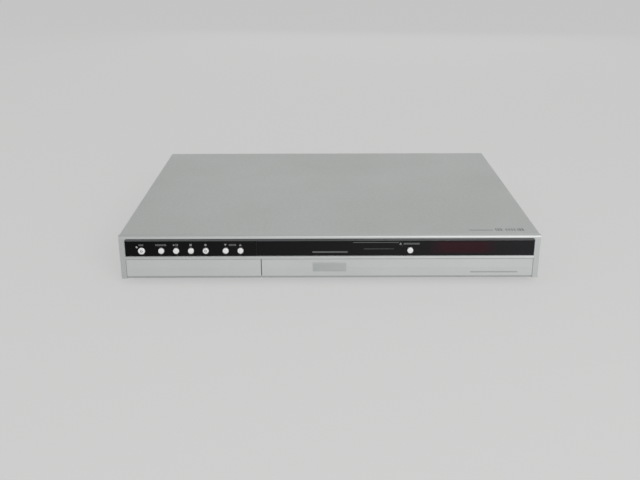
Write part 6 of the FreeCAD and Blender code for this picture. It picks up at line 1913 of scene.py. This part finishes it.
PARTS = (FrontPanel, PushButtons, PrintedMarks, Case, Screws, PhonoSockets, RearSockets, Fan, Boards, PowerParts, Loader,
         Tray, Traverse)


@dataclass(frozen=True)
class FloorFinish:
    """A plain pale floor that shows as pale to the camera and to glossy rays, and keeps the object's shadow."""

    name: str = "pale_floor"
    colour: Colour = (0.80, 0.80, 0.79)
    shadow: float = 0.27
    lift: Colour = (0.45, 0.45, 0.448)

    def build(self) -> bpy.types.Material:
        """Makes the material.

        Returns:
            The material.
        """
        made = bpy.data.materials.new(self.name)
        made.use_nodes = True
        shader = Shader(made.node_tree)
        surface = made.node_tree.nodes["Principled BSDF"]
        path = shader.node("ShaderNodeLightPath")
        seen = shader.math("MAXIMUM", path.outputs["Is Camera Ray"], path.outputs["Is Glossy Ray"])
        seen = shader.math("MAXIMUM", seen, path.outputs["Is Transmission Ray"])
        shown = shader.math("SUBTRACT", 1.0, seen)
        shader.feed(surface, Base_Color=shader.blend(seen, self.colour, plain_darker(self.colour, self.shadow)),
                    Emission_Color=shader.blend(shown, self.lift, (0.0, 0.0, 0.0)))
        surface.inputs["Emission Strength"].default_value = 1.0
        surface.inputs["Roughness"].default_value = 0.9
        surface.inputs["Specular IOR Level"].default_value = 0.0
        return made


@dataclass
class Studio:
    """Floor, soft lamps, world and camera."""

    eye: tuple[float, float, float] = (-8.96, -962.98, 345.24)
    pitch: float = 0.35699
    yaw: float = 0.000947
    roll: float = -0.003062
    lens: float = 46.83
    world_level: float = 0.46

    def floor(self) -> None:
        """Lays the floor."""
        shape = bmesh.new()
        bmesh.ops.create_grid(shape, x_segments=2, y_segments=2, size=30.0)
        mesh = bpy.data.meshes.new("floor")
        shape.to_mesh(mesh)
        shape.free()
        plane = bpy.data.objects.new("floor", mesh)
        bpy.context.scene.collection.objects.link(plane)
        plane.data.materials.append(FloorFinish().build())

    def world(self) -> None:
        """Fills the room with even light, and shows white to the camera, to gloss and through glass."""
        world = bpy.data.worlds.new("studio")
        world.use_nodes = True
        bpy.context.scene.world = world
        shader = Shader(world.node_tree)
        background = world.node_tree.nodes["Background"]
        path = shader.node("ShaderNodeLightPath")
        seen = shader.math("MAXIMUM", path.outputs["Is Camera Ray"], path.outputs["Is Transmission Ray"])
        seen = shader.math("MAXIMUM", seen, path.outputs["Is Glossy Ray"])
        strength = shader.node("ShaderNodeMapRange")
        shader.feed(strength, Value=seen, To_Min=self.world_level, To_Max=1.0)
        shader.feed(background, Color=(1.0, 1.0, 1.0, 1.0), Strength=strength.outputs["Result"])

    def lamp(self, name: str, place: Sequence[float], target: Sequence[float], size: float, power: float) -> None:
        """Hangs a square soft lamp.

        Args:
            name: its name.
            place: where it hangs, in metres.
            target: what it points at.
            size: its side in metres.
            power: its power in watts.
        """
        light = bpy.data.lights.new(name, "AREA")
        light.size = size
        light.energy = power
        lamp = bpy.data.objects.new(name, light)
        lamp.location = place
        lamp.rotation_euler = (Vector(target) - Vector(place)).to_track_quat("-Z", "Y").to_euler()
        bpy.context.scene.collection.objects.link(lamp)

    def camera(self) -> None:
        """Sets the camera where the photograph was taken from."""
        right = Vector((math.cos(self.yaw), math.sin(self.yaw), 0.0))
        ahead = Vector((-math.sin(self.yaw) * math.cos(self.pitch), math.cos(self.yaw) * math.cos(self.pitch),
                        -math.sin(self.pitch)))
        up = right.cross(ahead)
        turned_right = right * math.cos(self.roll) + up * math.sin(self.roll)
        turned_up = up * math.cos(self.roll) - right * math.sin(self.roll)
        columns = Matrix((turned_right, turned_up, -ahead)).transposed().to_4x4()
        data = bpy.data.cameras.new("camera")
        data.lens = self.lens
        data.sensor_width = 36.0
        data.sensor_fit = "HORIZONTAL"
        data.clip_start = 0.01
        camera = bpy.data.objects.new("camera", data)
        camera.matrix_world = Matrix.Translation([value * MM for value in self.eye]) @ columns
        bpy.context.scene.collection.objects.link(camera)
        bpy.context.scene.camera = camera

    def build(self) -> None:
        """Sets up the studio."""
        self.floor()
        self.world()
        self.lamp("key_lamp", (0.75, -1.9, 0.85), (0.0, 0.0, 0.03), 1.2, 24.5)
        self.lamp("side_lamp", (-1.5, -0.5, 1.3), (0.0, 0.0, 0.03), 1.4, 2.0)
        self.lamp("back_lamp", (0.2, 1.7, 0.9), (0.0, 0.0, 0.03), 1.6, 3.0)
        self.camera()
        scene = bpy.context.scene
        scene.view_settings.view_transform = "Standard"


def plain(box: tuple) -> list[list[float]]:
    """A pair of corners as plain lists."""
    return [[float(value) for value in corner] for corner in box]


def main() -> None:
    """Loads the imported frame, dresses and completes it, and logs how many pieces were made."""
    logging.basicConfig(level=logging.INFO, format="%(name)s %(message)s")
    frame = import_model()
    bpy.context.scene.view_settings.view_transform = "Standard"
    shop = Workshop(frame)
    Studio().build()
    for part in PARTS:
        part().build(shop)
    LOG.info("pieces made: %d", shop.made)


if __name__ == "__main__":
    main()
